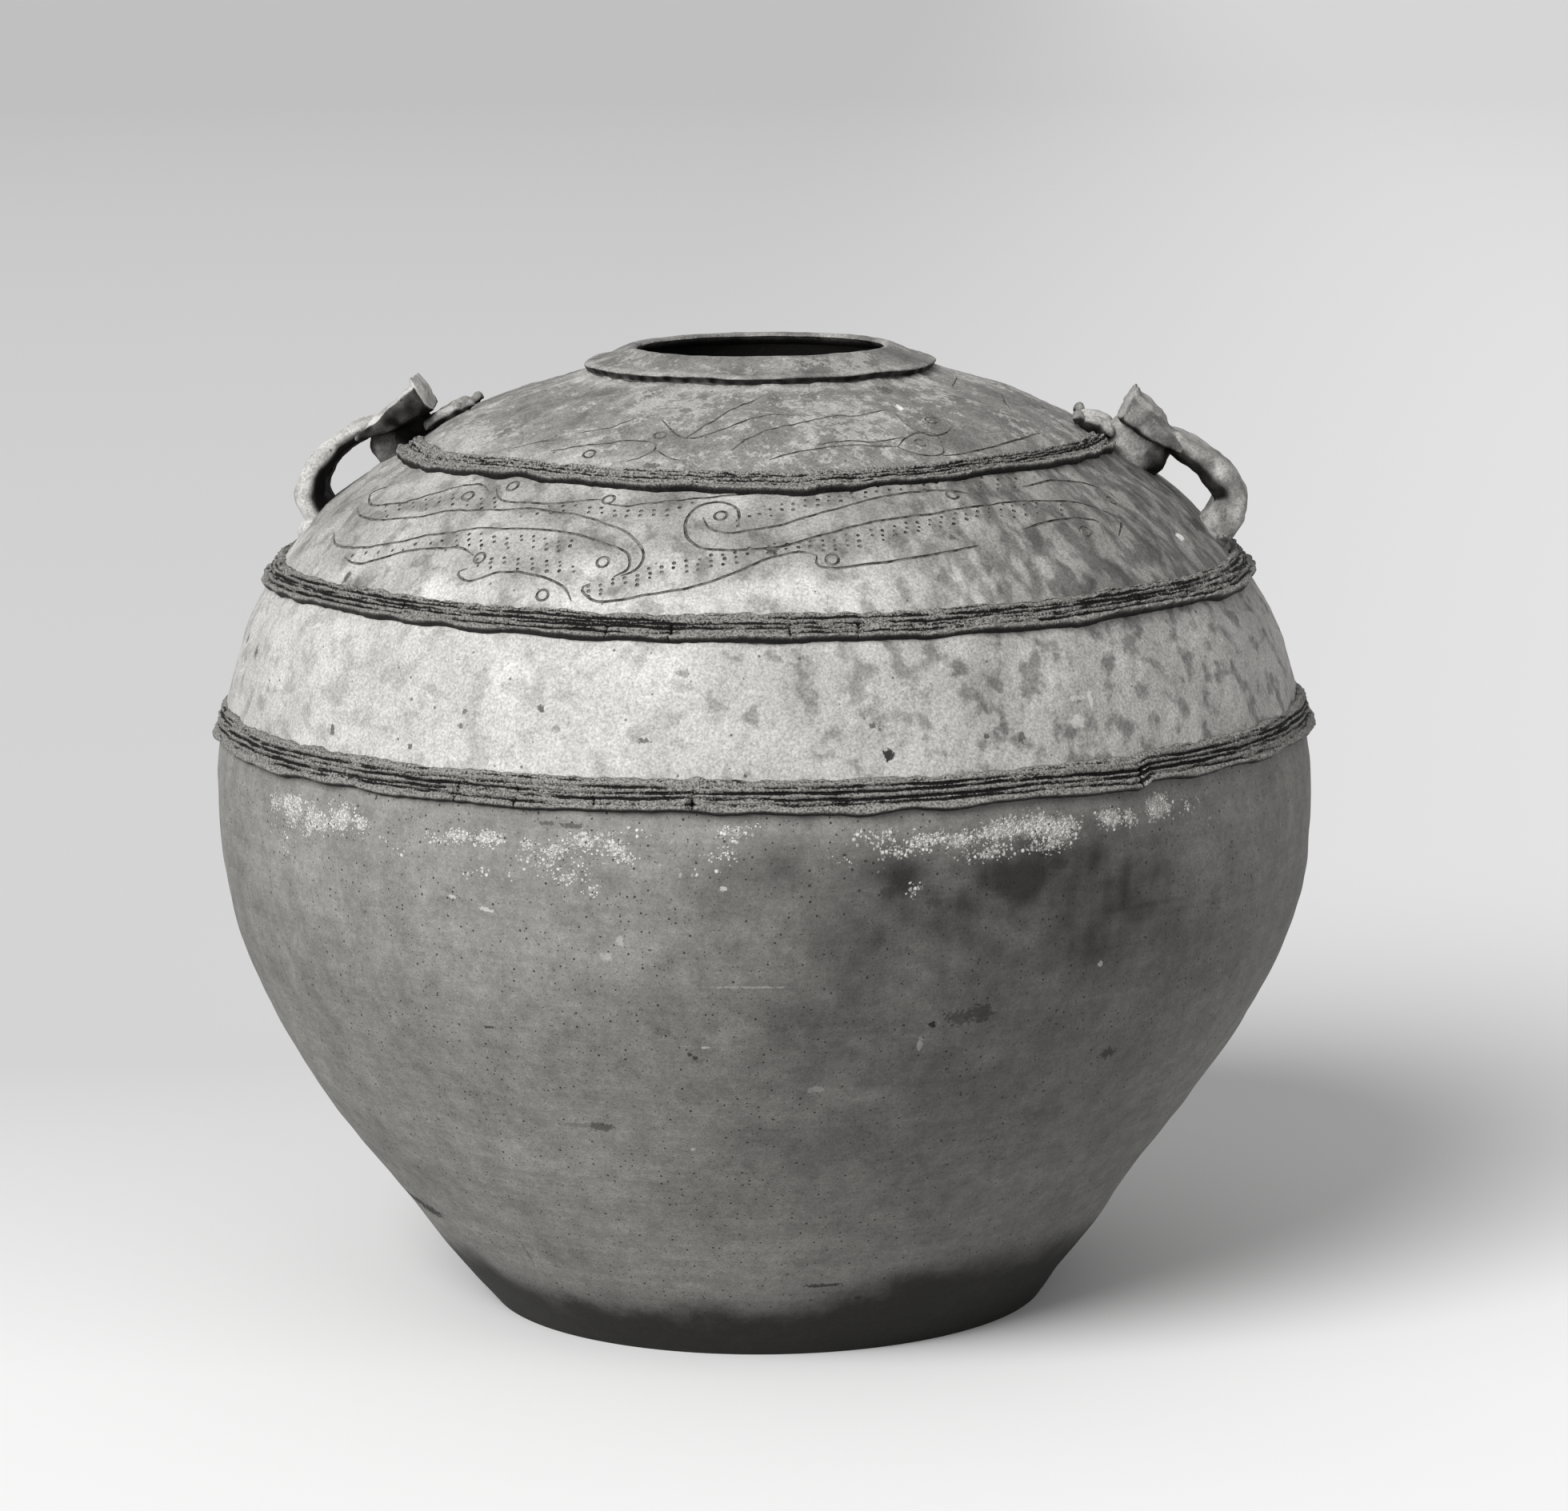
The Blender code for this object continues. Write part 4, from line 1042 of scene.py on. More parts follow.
def mark_clay(body, angles, places, true_form):
    """Say where the bare clay is scorched, crusted with ash, clouded and pale."""
    front_edge = wall_curve(FOOT_EDGE)
    back_edge = front_edge + (math.pi, 0.0)
    edge = np.vstack([front_edge, back_edge])
    foot_top = np.interp(angles, edge[:, 0], edge[:, 1], period=2 * math.pi)
    foot_top += FOOT_WANDER * ripple(true_form, FOOT_WANDER_LENGTH, 16)
    mark(body, "scorch", rising(foot_top - places, -FOOT_FADE, FOOT_FADE))
    ash = spotted(angles, places, ASH_PATCHES)
    ash *= ASH_STRENGTH * np.clip(1.0 + ASH_CHANGE * ripple(true_form, ASH_SPREAD, 17), *ASH_LIMITS)
    mark(body, "ash", np.where(ash > LEAST_ASH, ash, NO_ASH))
    cloud = np.zeros(len(angles))
    for pixel, along, across, most in DARK_CLOUDS:
        spot = wall_spot(pixel)
        for turn in (0.0, math.pi):
            near = nearness(angles, places, (spot[0] + turn, spot[1]), along, across)
            cloud = cloud + most * near * (1.0 - cloud)
    broad, fine = CLOUD_CHANGES
    uneven = 1.0 + broad * ripple(true_form, CLOUD_SPREAD, 14) + fine * ripple(true_form, CLOUD_GRAIN, 18)
    cloud *= np.clip(uneven, *CLOUD_LIMITS)
    lateral = lateral_angles(angles)
    tone = CLAY_TONE - CLAY_RIGHT_LESS * rising(lateral, *CLAY_DARKENING)
    # Painted bounce light towards the right edge
    tone = tone + CLAY_EDGE_PAINTED_LIGHT * rising(lateral, *CLAY_EDGE_LIGHT_FROM)
    tone += CLAY_LOW_MORE * rising(LOWER_JOINT - places, *CLAY_LOW)
    pale = rising(places - LOWER_JOINT + PALE_BAND, *PALE_BAND_EDGE)
    tone += PALE_BAND_MORE * pale
    cloud *= 1.0 - PALE_BAND_CLOUD_LESS * pale
    tone += TONE_CHANGE * ripple(true_form, TONE_SPREAD, 19)
    mark(body, "cloud", np.clip(cloud, 0.0, 1.0))
    mark(body, "tone", np.clip(tone, 0.0, 1.0))


def build_lower_body(clay):
    """The coil-built lower body, wiped by hand."""
    top = [(LOWER_JOINT, WALL / 2), (LOWER_JOINT + JOINT_STEP, WALL / 2)]
    outside = [(place, 0.0) for place in np.linspace(0.0, LOWER_JOINT, LOWER_BODY_ROWS + 1)]
    first = float(np.interp(BASE_THICKNESS, on_wall(WALL_PLACES, WALL)[1], WALL_PLACES))
    inside = [(place, WALL) for place in np.linspace(LOWER_JOINT + JOINT_STEP, first, LOWER_LINING_ROWS)]
    spots = outside + top + inside
    places, depths = np.array(spots).T
    outline = list(np.column_stack(on_wall(places, depths)))
    outline += [(BASE_DISC_RADIUS, BASE_THICKNESS), (BASE_DISC_RADIUS, 0.0)]
    marks = {"place": list(places) + [first, 0.0], "depth": list(depths) + [WALL, WALL]}
    body = turned("lower_body", outline, LOWER_BODY_STEPS, marks=marks)
    points = points_of(body)
    angles = azimuths(points)
    places, depths = marked(body, "place"), marked(body, "depth")
    stretch = points * LEVEL_STRETCH
    shown = depths < WALL / 4
    relief = WIPE_RELIEF * ripple(stretch, WIPE_STEP, 11) + HAND_RELIEF * ripple(stretch, HAND_STEP, 12)
    relief += HAND_RELIEF * ripple(points, HAND_BROAD, 13)
    relief *= rising(places, 0.0, PLAIN_FOOT)
    up_radius = np.interp(places, WALL_PLACES, WALL_SLOPES[:, 1])
    up_height = -np.interp(places, WALL_PLACES, WALL_SLOPES[:, 0])
    push = np.where(shown, relief, 0.0)
    true_form = points.copy()
    points[:, 0] += push * up_radius * np.cos(angles)
    points[:, 1] += push * up_radius * np.sin(angles)
    points[:, 2] = np.maximum(points[:, 2] + push * up_height, 0.0)
    move_points(body, sagged(points))
    mark_clay(body, angles, places, true_form)
    body.data.materials.append(clay)
    smooth_shaded(body)
    finish_piece(body, "bare_stoneware", "lower_wall")


def build_base(clay):
    """The base slab inside the foot, with faint rings on its underside."""
    rows = np.linspace(0.0, BASE_DISC_RADIUS, SLAB_ROWS)
    outline = [(radius, 0.0) for radius in rows[1:]] + [(radius, BASE_THICKNESS) for radius in rows[:0:-3]]
    outline = [(0.0, 0.0)] + outline + [(0.0, BASE_THICKNESS)]
    slab = turned("base_slab", outline, SLAB_STEPS)
    points = points_of(slab)
    off_centre = np.hypot(points[:, 0] - RING_CENTRE[0], points[:, 1] - RING_CENTRE[1])
    lift = RING_HEIGHT * (1.0 + np.sin(off_centre / RING_LENGTH)) * (points[:, 2] < BASE_THICKNESS / 2)
    lift *= rising(BASE_DISC_RADIUS - np.hypot(points[:, 0], points[:, 1]), 0.0, RING_END)
    points[:, 2] += lift
    move_points(slab, sagged(points))
    mark(slab, "tone", np.full(len(points), SLAB_TONE))
    mark(slab, "scorch", np.full(len(points), SLAB_SCORCH))
    mark(slab, "ash", np.full(len(points), NO_ASH))
    slab.data.materials.append(clay)
    smooth_shaded(slab)
    finish_piece(slab, "bare_stoneware", "base_disc")


BELLY_STEPS = 720
BELLY_ROWS = 44
LINING_ROWS = 8
# Relief of the thrown and glazed wall: broad, and fine
WALL_RELIEF = 0.00026
FINE_RELIEF = 0.00010
BELLY_RELIEF_SIZES = (0.012, 0.004)
SHOULDER_RELIEF_SIZES = (0.014, 0.005)


# Soft dark areas of the glaze, given as the marks are
GREY_CLOUDS = (
    ((1400, 640), 0.045, 0.018, 0.5), ((1480, 660), 0.04, 0.03, 0.5), ((1300, 600), 0.03, 0.01, 0.25),
    ((1440, 710), 0.026, 0.02, 0.3), ((1330, 715), 0.012, 0.012, 0.22), ((1070, 840), 0.01, 0.005, 0.34),
    ((1215, 850), 0.01, 0.007, 0.34), ((700, 632), 0.02, 0.006, 0.22), ((1040, 640), 0.025, 0.008, 0.2),
    ((640, 690), 0.02, 0.008, 0.16), ((430, 650), 0.02, 0.02, 0.14), ((500, 850), 0.004, 0.006, 0.16),
    ((525, 830), 0.004, 0.006, 0.14), ((920, 845), 0.005, 0.004, 0.16), ((1000, 885), 0.006, 0.005, 0.14),
    ((600, 860), 0.004, 0.008, 0.1), ((910, 840), 0.004, 0.006, 0.16),
)
# Pale areas of the shoulder's glaze, given in the same way
PALE_CLOUDS = (
    ((752, 712), 0.01, 0.007, 0.3), ((745, 752), 0.03, 0.0035, 0.26), ((1010, 738), 0.026, 0.008, 0.2),
    ((640, 748), 0.012, 0.004, 0.2), ((560, 725), 0.016, 0.006, 0.1), ((1080, 712), 0.016, 0.008, 0.16),
    ((500, 612), 0.01, 0.004, 0.14), ((560, 655), 0.02, 0.0035, 0.08), ((1190, 720), 0.02, 0.008, 0.1),
)


# Where the glaze changes around the jar, in degrees to the right of its front, and how far that drifts
DRIFT = 7.0
DRIFT_SIZE = 0.04
TURNING = (-18.0, 22.0)
FAR_LEFT = (48.0, 72.0)
DARK_RIGHT = (12.0, 50.0)
# Where it changes up the wall, in metres from the cordon there
AT_CORDON = (-0.002, 0.002)
SHOULDER_BAND_TOP = 0.030
SHOULDER_BAND_FADE = 0.022
SHOULDER_TOP = (-0.012, -0.004)
# Tones from thin glaze at 0 to thick glaze at 1, and what each region takes off or adds
BELLY_TONE = 0.71
BELLY_TURNING_LESS = 0.18
BELLY_FAR_LEFT_LESS = 0.02
BELLY_CHANGE = 0.05
SHOULDER_TONE = 0.38
SHOULDER_TURNING_LESS = 0.03
SHOULDER_RIGHT_LESS = 0.25
SHOULDER_BAND_MORE = 0.16
SHOULDER_TOP_LESS = 0.02
SHOULDER_CHANGE = 0.105
CROWN_TONE = 0.155
CROWN_RIGHT_LESS = 0.045
CROWN_TURNING = (-30.0, 30.0)
CROWN_CHANGE = 0.05
# Pale rings on the crown: against the collar, and above the upper cordon
COLLAR_RING = (COLLAR_RADIUS + 0.0016, 0.0022)
COLLAR_RING_MORE = 0.34
COLLAR_RING_FADE = (10.0, 50.0)
COLLAR_RING_RIGHT_LESS = 0.75
CORDON_RING = (UPPER_JOINT + UPPER_CORDON_WIDTH / 2 + 0.0040, 0.0050)
CORDON_RING_MORE = (0.14, 0.05)
CORDON_RING_FADE = (-35.0, 5.0)
# Grey round the rows of dots
DOT_SHADE = 0.16
DOT_SHADE_REACH = (0.009, 0.0032)
DOT_SHADE_POINTS = 6
# Blotches by region, and how much the weathered crown loses of them
BELLY_MOTTLE = (0.38, 0.56, 0.15)
SHOULDER_MOTTLE = (0.66, 0.30)
WEATHERED_MOTTLE_LESS = 0.6
SHOULDER_DAPPLE = (0.12, 0.88)


def glaze_marks(piece, angles, places, weathered):
    """Say where the glaze is pale, blotched, streaked or weathered."""
    lateral = lateral_angles(angles)
    ring = BODY_RADIUS * np.column_stack([np.cos(angles), np.sin(angles)])
    unrolled = np.column_stack([ring, places])
    drift = DRIFT * ripple(unrolled, DRIFT_SIZE, 21)
    turning = rising(lateral + drift, *TURNING)
    far_left = rising(-lateral + drift, *FAR_LEFT)
    belly = rising(MIDDLE_JOINT - places, *AT_CORDON)
    right = rising(lateral + drift / 2, *DARK_RIGHT)
    band = rising(MIDDLE_JOINT + SHOULDER_BAND_TOP - places, 0.0, SHOULDER_BAND_FADE)
    high = rising(places - UPPER_JOINT, *SHOULDER_TOP)

    shoulder = SHOULDER_TONE - SHOULDER_TURNING_LESS * turning - SHOULDER_RIGHT_LESS * right
    shoulder = shoulder + SHOULDER_BAND_MORE * band * (1 - right) - SHOULDER_TOP_LESS * high
    shoulder = shoulder + SHOULDER_CHANGE * ripple(unrolled, PATCH_SIZE, 22) * (1 - right / 2)
    tone = BELLY_TONE - BELLY_TURNING_LESS * turning - BELLY_FAR_LEFT_LESS * far_left
    tone = tone + BELLY_CHANGE * ripple(unrolled, PATCH_SIZE, 24)
    tone = belly * tone + (1 - belly) * shoulder
    crown = CROWN_TONE - CROWN_RIGHT_LESS * rising(lateral, *CROWN_TURNING)
    crown = crown + CROWN_CHANGE * ripple(unrolled, PATCH_SIZE, 23)
    fade = 1 - COLLAR_RING_RIGHT_LESS * rising(lateral, *COLLAR_RING_FADE)
    crown += COLLAR_RING_MORE * bump(on_wall(places, 0.0)[0], *COLLAR_RING) * fade
    left_more, more = CORDON_RING_MORE
    crown += bump(places, *CORDON_RING) * (left_more * (1 - rising(lateral, *CORDON_RING_FADE)) + more)
    tone = tone * (1 - weathered) + weathered * crown
    grey = spotted(angles, places, GREY_CLOUDS)
    for pixels, _ in DOT_ROWS:
        for pixel in resampled(pixels, DOT_SHADE_POINTS):
            for turn in (0.0, math.pi):
                angle, place = wall_spot(pixel)
                near = nearness(angles, places, (angle + turn, place), *DOT_SHADE_REACH)
                grey = np.maximum(grey, DOT_SHADE * near)
    tone = tone * (1.0 - grey) + spotted(angles, places, PALE_CLOUDS)
    mark(piece, "tone", np.clip(tone, 0.0, 1.0))
    least, turning_more, far_left_more = BELLY_MOTTLE
    blotched = belly * (least + turning_more * turning + far_left_more * far_left)
    most, right_less = SHOULDER_MOTTLE
    blotched = blotched + (1 - belly) * (most - right_less * right)
    mark(piece, "mottle", np.clip(blotched * (1 - WEATHERED_MOTTLE_LESS * weathered), 0.0, 1.0))
    least, right_more = SHOULDER_DAPPLE
    dappled = (1 - belly) * (least + right_more * right) * (1 - weathered)
    mark(piece, "dapple", np.clip(dappled, 0.0, 1.0))
    mark(piece, "weathered", weathered)
    return unrolled


def dark_lining(piece, depths):
    """Paint the wall near black inside the jar."""
    mark(piece, "bare_and_shade", rising(depths, WALL / 3, WALL / 2))


def finish_glazed_wall(piece, node, angles, places, depths, weathered, relief_sizes, seed):
    """Mark the wall's glaze, make its surface uneven, and hide the node it stands in for."""
    unrolled = glaze_marks(piece, angles, places, weathered)
    dark_lining(piece, depths)
    broad, fine = relief_sizes
    relief = WALL_RELIEF * ripple(unrolled, broad, seed) + FINE_RELIEF * ripple(unrolled, fine, seed + 1)
    shown = rising(WALL / 3 - depths, 0.0, WALL / 3)
    set_on_wall(piece, angles, places, depths - relief * shown)
    smooth_shaded(piece)
    finish_piece(piece, "ash_glazed_stoneware", node)


def build_belly(glaze):
    """The undecorated wall between the lower and the middle cordon."""
    spots = section_spots(LOWER_JOINT, MIDDLE_JOINT, BELLY_ROWS, LINING_ROWS)
    belly = wall_turned("belly_wall", spots, BELLY_STEPS)
    angles = azimuths(points_of(belly))
    places, depths = marked(belly, "place"), marked(belly, "depth")
    belly.data.materials.append(glaze)
    finish_glazed_wall(belly, "belly_ring", angles, places, depths, np.zeros(len(angles)),
                       BELLY_RELIEF_SIZES, 31)


# Incised scrolls on the shoulder and the crown, by their pixels in the photograph
SHOULDER_SCROLLS = (
    ((486, 610), (472, 612), (461, 620), (461, 629), (486, 631), (534, 619), (579, 609), (607, 609),
     (611, 616)),
    ((446, 634), (447, 642), (461, 649), (496, 649), (559, 640), (623, 637), (687, 638), (751, 653),
     (792, 672), (805, 694), (795, 713), (776, 721)),
    ((416, 665), (419, 681), (435, 684), (496, 678), (559, 665), (639, 661), (703, 665), (757, 680),
     (786, 694), (787, 710), (767, 722)),
    ((430, 697), (438, 703), (464, 700), (512, 689), (553, 684), (579, 686), (591, 694)),
    ((583, 710), (571, 716), (575, 722), (623, 717), (655, 717), (687, 724), (709, 739), (714, 751)),
    ((738, 729), (727, 735), (738, 748), (767, 751), (815, 743), (900, 723), (928, 712), (978, 694),
     (1006, 690), (1021, 694)),
    ((1021, 694), (1021, 706), (1037, 710), (1084, 706), (1161, 694), (1224, 681)),
    ((620, 611), (623, 622), (649, 628), (751, 624)),
    ((757, 629), (776, 633), (815, 629), (900, 621), (960, 617)),
    ((924, 659), (922, 638), (901, 629), (873, 634), (858, 650), (858, 669), (873, 683), (908, 688),
     (967, 685), (1017, 671), (1084, 655), (1161, 642), (1239, 631)),
    ((879, 648), (885, 659), (903, 667), (940, 664), (1006, 646), (1068, 630), (1122, 618), (1181, 613),
     (1212, 616)),
    ((1278, 607), (1317, 601), (1356, 604), (1387, 615), (1405, 630)),
    ((1239, 631), (1259, 628), (1298, 626), (1348, 630), (1383, 640), (1401, 653), (1399, 669)),
    ((1278, 661), (1317, 651), (1352, 650), (1375, 657), (1379, 669)),
)
SHOULDER_EYES = (
    (585, 621), (641, 608), (761, 624), (599, 697), (754, 703), (678, 744), (901, 646), (1190, 619),
    (1040, 700), (1356, 666), (1391, 625),
)
CROWN_SCROLLS = (
    ((687, 563), (725, 559), (768, 553), (805, 552), (821, 557), (818, 563), (803, 571), (782, 577)),
    ((723, 542), (749, 538), (777, 531), (796, 524)),
    ((828, 527), (838, 537), (855, 547), (881, 544), (909, 535), (938, 524), (971, 517), (994, 516)),
    ((855, 549), (890, 526), (919, 511), (952, 497)),
    ((914, 563), (938, 546), (975, 534), (1013, 525), (1051, 519), (1079, 517), (1110, 513)),
    ((961, 575), (985, 569), (1032, 560), (1070, 556), (1103, 557), (1122, 558)),
    ((1020, 556), (1060, 551), (1100, 551), (1130, 547)),
    ((1122, 558), (1130, 549), (1140, 543), (1169, 542), (1178, 551), (1180, 565), (1159, 570), (1138, 565),
     (1122, 558)),
    ((1119, 517), (1131, 530), (1150, 539), (1178, 542), (1190, 534), (1178, 524), (1159, 520)),
    ((1178, 569), (1211, 566), (1244, 558), (1277, 549), (1300, 542)),
    ((1251, 494), (1263, 513)),
    ((1190, 484), (1196, 474)),
    ((822, 563), (834, 572), (857, 578)),
    ((640, 560), (680, 552), (700, 549)),
)
CROWN_EYES = ((737, 568), (826, 545), (1151, 553), (1164, 524))
# Rows of pricked dots: the pixels that a row follows, and the dots in each of its columns
DOT_ROWS = (
    (((482, 641), (520, 634), (560, 629), (618, 630)), 3),
    (((440, 695), (480, 690), (515, 683), (552, 676)), 1),
    (((570, 676), (620, 676), (670, 676), (714, 682)), 3),
    (((596, 703), (640, 704), (680, 705), (717, 713)), 3),
    (((672, 637), (715, 634), (770, 643), (820, 640), (866, 633)), 2),
    (((735, 737), (770, 732), (815, 717), (858, 707), (900, 700), (936, 695)), 3),
    (((922, 656), (945, 648), (978, 634), (1005, 630), (1060, 619), (1120, 611), (1170, 607)), 2),
    (((1205, 604), (1235, 604), (1270, 603)), 3),
    (((968, 684), (1020, 683), (1070, 675), (1120, 664), (1155, 657), (1200, 648), (1235, 640),
      (1285, 637), (1327, 636)), 3),
)
# Half widths of the cut lines, of the stamped rings and of the dots, in metres
SCROLL_RADIUS = 0.00054
CROWN_SCROLL_RADIUS = 0.00046
EYE_RADIUS = 0.0019
EYE_STEPS = 20
DOT_RADIUS = 0.00078
DOT_SIZES = (0.75, 1.15)
DOT_TIP_SHARE = 0.75
DOT_DEPTHS = (0.0004, -0.0003)
# A line thins out at its ends, over a few of its points
LINE_END_SHARE = 0.45
LINE_END_POINTS = 3.0
LINE_POINT_PIXELS = 5.0
LINE_KNOT_STEPS = 6


# Spacing of the columns of pricked dots along a row and of the dots in a column, and how far they stray,
# in pixels of the photograph; and how often a column lacks a dot
DOT_COLUMN_PIXELS = 14.0
DOT_PIXELS = 6.2
COLUMN_STRAY = 1.4
DOT_STRAY_DOWN = 0.5
DOT_STRAY_ACROSS = 0.7
DOT_MISSING = 0.3
WEATHERED_FROM = (-0.004, 0.004)
SHOULDER_STEPS = 420
SHOULDER_ROWS = 30
CROWN_ROWS = 30


def incised(curve, spots, radius, depth, cyclic=False):
    """Add one line to the cutter: azimuths and places on the wall, at a depth under it."""
    angles, places = np.array(spots).T
    reach, height = on_wall(places, depth)
    spline = curve.splines.new("POLY")
    spline.points.add(len(spots) - 1)
    points = np.column_stack([reach * np.cos(angles), reach * np.sin(angles), height, np.ones(len(spots))])
    spline.points.foreach_set("co", points.ravel())
    spline.points.foreach_set("radius", np.broadcast_to(radius, len(spots)).astype(np.float32))
    spline.use_cyclic_u = cyclic


def incised_line(curve, pixels, radius, turn):
    """A scroll line, thinning out at both ends."""
    knots = smooth_line(pixels, LINE_KNOT_STEPS)
    spots = wall_curve(resampled(knots, max(4, int(line_places(knots)[-1] / LINE_POINT_PIXELS))))
    spots[:, 0] += turn
    ends = np.minimum(np.arange(len(spots)), np.arange(len(spots))[::-1])
    full = np.clip(ends / LINE_END_POINTS, 0.0, 1.0)
    incised(curve, spots, radius * (LINE_END_SHARE + (1 - LINE_END_SHARE) * full), 0.0)


def incised_eye(curve, pixel, radius, line_radius, turn):
    """A stamped ring."""
    angle, place = wall_spot(pixel)
    ways = np.linspace(0.0, 2 * math.pi, EYE_STEPS, endpoint=False)
    reach = on_wall(place, 0.0)[0]
    spots = np.column_stack([angle + turn + radius * np.cos(ways) / reach, place + radius * np.sin(ways)])
    incised(curve, spots, line_radius, 0.0, cyclic=True)


def pricked_row(curve, pixels, count, turn, draw):
    """Columns of pricked dots along a row, each column upright in the photograph."""
    knots = smooth_line(pixels, LINE_KNOT_STEPS)
    for across, down in resampled(knots, max(2, int(line_places(knots)[-1] / DOT_COLUMN_PIXELS))):
        dots = count - int(draw.random() < DOT_MISSING and count > 1)
        shift = draw.normal(0.0, COLUMN_STRAY)
        for index in range(dots):
            step = (index - (count - 1) / 2) * DOT_PIXELS + shift + draw.normal(0.0, DOT_STRAY_DOWN)
            angle, place = wall_spot((across + draw.normal(0.0, DOT_STRAY_ACROSS), down + step))
            angles = np.full(2, angle + turn)
            reach, height = on_wall(np.full(2, place), np.array(DOT_DEPTHS))
            spline = curve.splines.new("POLY")
            spline.points.add(1)
            points = np.column_stack([reach * np.cos(angles), reach * np.sin(angles), height, np.ones(2)])
            spline.points.foreach_set("co", points.ravel())
            sizes = DOT_RADIUS * draw.uniform(*DOT_SIZES) * np.array((DOT_TIP_SHARE, 1.0))
            spline.points.foreach_set("radius", sizes.astype(np.float32))


def new_cutter(name):
    """A curve whose lines are as thick as each point says."""
    curve = bpy.data.curves.new(name, "CURVE")
    curve.dimensions = "3D"
    curve.bevel_depth = 1.0
    curve.bevel_resolution = 1
    curve.use_fill_caps = True
    return curve


def cut_lines(piece, curve, finish):
    """Cut the lines of a curve into a piece, and remove the cutter."""
    tool = bpy.data.objects.new(curve.name, curve)
    bpy.context.scene.collection.objects.link(tool)
    activate(tool)
    bpy.ops.object.convert(target="MESH")
    tool.data.materials.clear()
    tool.data.materials.append(None)
    tool.data.materials.append(finish)
    tool.data.polygons.foreach_set("material_index", np.ones(len(tool.data.polygons), dtype=np.int32))
    piece.data.materials.append(finish)
    activate(piece)
    cutting = piece.modifiers.new("incised_lines", "BOOLEAN")
    cutting.operation = "DIFFERENCE"
    cutting.solver = "EXACT"
    cutting.use_self = True
    cutting.object = tool
    cutting.show_viewport = False
    bpy.ops.object.modifier_apply(modifier=cutting.name)
    bpy.data.objects.remove(tool)


def wall_coordinates(piece):
    """Azimuth, place and depth of each vertex of a true-form piece."""
    points = points_of(piece)
    reach = np.hypot(points[:, 0], points[:, 1])
    outline = np.column_stack([reach, points[:, 2]])
    places = place_at_height(points[:, 2])
    for _ in range(4):
        radius, height = on_wall(places, 0.0)
        up_radius, up_height = (np.interp(places, WALL_PLACES, column) for column in WALL_SLOPES.T)
        places = places + (outline[:, 0] - radius) * up_radius + (outline[:, 1] - height) * up_height
    radius, height = on_wall(places, 0.0)
    up_radius, up_height = (np.interp(places, WALL_PLACES, column) for column in WALL_SLOPES.T)
    depths = (radius - outline[:, 0]) * up_height + (outline[:, 1] - height) * up_radius
    return azimuths(points), places, depths


def build_shoulder_and_crown(glaze, dark):
    """The shoulder between the middle and upper cordons, and the crown up to the collar."""
    draw = np.random.default_rng(5)
    shoulder_lines = new_cutter("shoulder_lines")
    crown_lines = new_cutter("crown_lines")
    for turn in (0.0, math.pi):
        for pixels in SHOULDER_SCROLLS:
            incised_line(shoulder_lines, pixels, SCROLL_RADIUS, turn)
        for pixel in SHOULDER_EYES:
            incised_eye(shoulder_lines, pixel, EYE_RADIUS, SCROLL_RADIUS, turn)
        for pixels, count in DOT_ROWS:
            pricked_row(shoulder_lines, pixels, count, turn, draw)
        for pixels in CROWN_SCROLLS:
            incised_line(crown_lines, pixels, CROWN_SCROLL_RADIUS, turn)
        for pixel in CROWN_EYES:
            incised_eye(crown_lines, pixel, EYE_RADIUS, CROWN_SCROLL_RADIUS, turn)

    outline = section_spots(MIDDLE_JOINT, UPPER_JOINT, SHOULDER_ROWS, LINING_ROWS)
    shoulder = wall_turned("shoulder_wall", outline, SHOULDER_STEPS)
    bottom = [(UPPER_JOINT + JOINT_STEP, WALL / 2), (UPPER_JOINT, WALL / 2)]
    outside = [(place, 0.0) for place in np.linspace(UPPER_JOINT, CROWN_END, CROWN_ROWS + 1)]
    inside = [(place, WALL) for place in np.linspace(CROWN_END, UPPER_JOINT + JOINT_STEP, LINING_ROWS)]
    crown = wall_turned("crown_wall", outside + inside + bottom, SHOULDER_STEPS)
    sections = ((shoulder, shoulder_lines, "shoulder_ring"), (crown, crown_lines, "crown_dome"))
    for piece, lines, node in sections:
        piece.data.materials.append(glaze)
        cut_lines(piece, lines, dark)
        angles, places, depths = wall_coordinates(piece)
        weathered = rising(places - UPPER_JOINT, *WEATHERED_FROM)
        finish_glazed_wall(piece, node, angles, places, depths, weathered, SHOULDER_RELIEF_SIZES, 33)


# Lower edge of each cordon, by its pixels in the photograph
LOWER_CORDON_EDGE = (
    (273, 908), (324, 961), (419, 983), (515, 999), (611, 1007), (706, 1015), (859, 1016), (1019, 1020),
    (1178, 1013), (1248, 1003), (1345, 996), (1400, 992), (1422, 991), (1434, 979), (1475, 973),
    (1573, 951), (1631, 918),
)
MIDDLE_CORDON_EDGE = (
    (338, 740), (400, 759), (496, 778), (634, 793), (760, 802), (900, 804), (1045, 803), (1239, 795),
    (1395, 774), (1457, 762), (1542, 746),
)
UPPER_CORDON_EDGE = (
    (520, 587), (642, 598), (765, 610), (1000, 620), (1077, 612), (1165, 603), (1253, 590), (1341, 579),
    (1385, 569),
)
# Cracks through the lower half of the cordons
CRACK_PIXELS = (
    (500, 780), (635, 795), (760, 800), (840, 803), (990, 803), (1075, 803), (1425, 765), (1490, 757),
    (575, 1003), (648, 1008), (745, 1012), (868, 1010), (1425, 985),
)
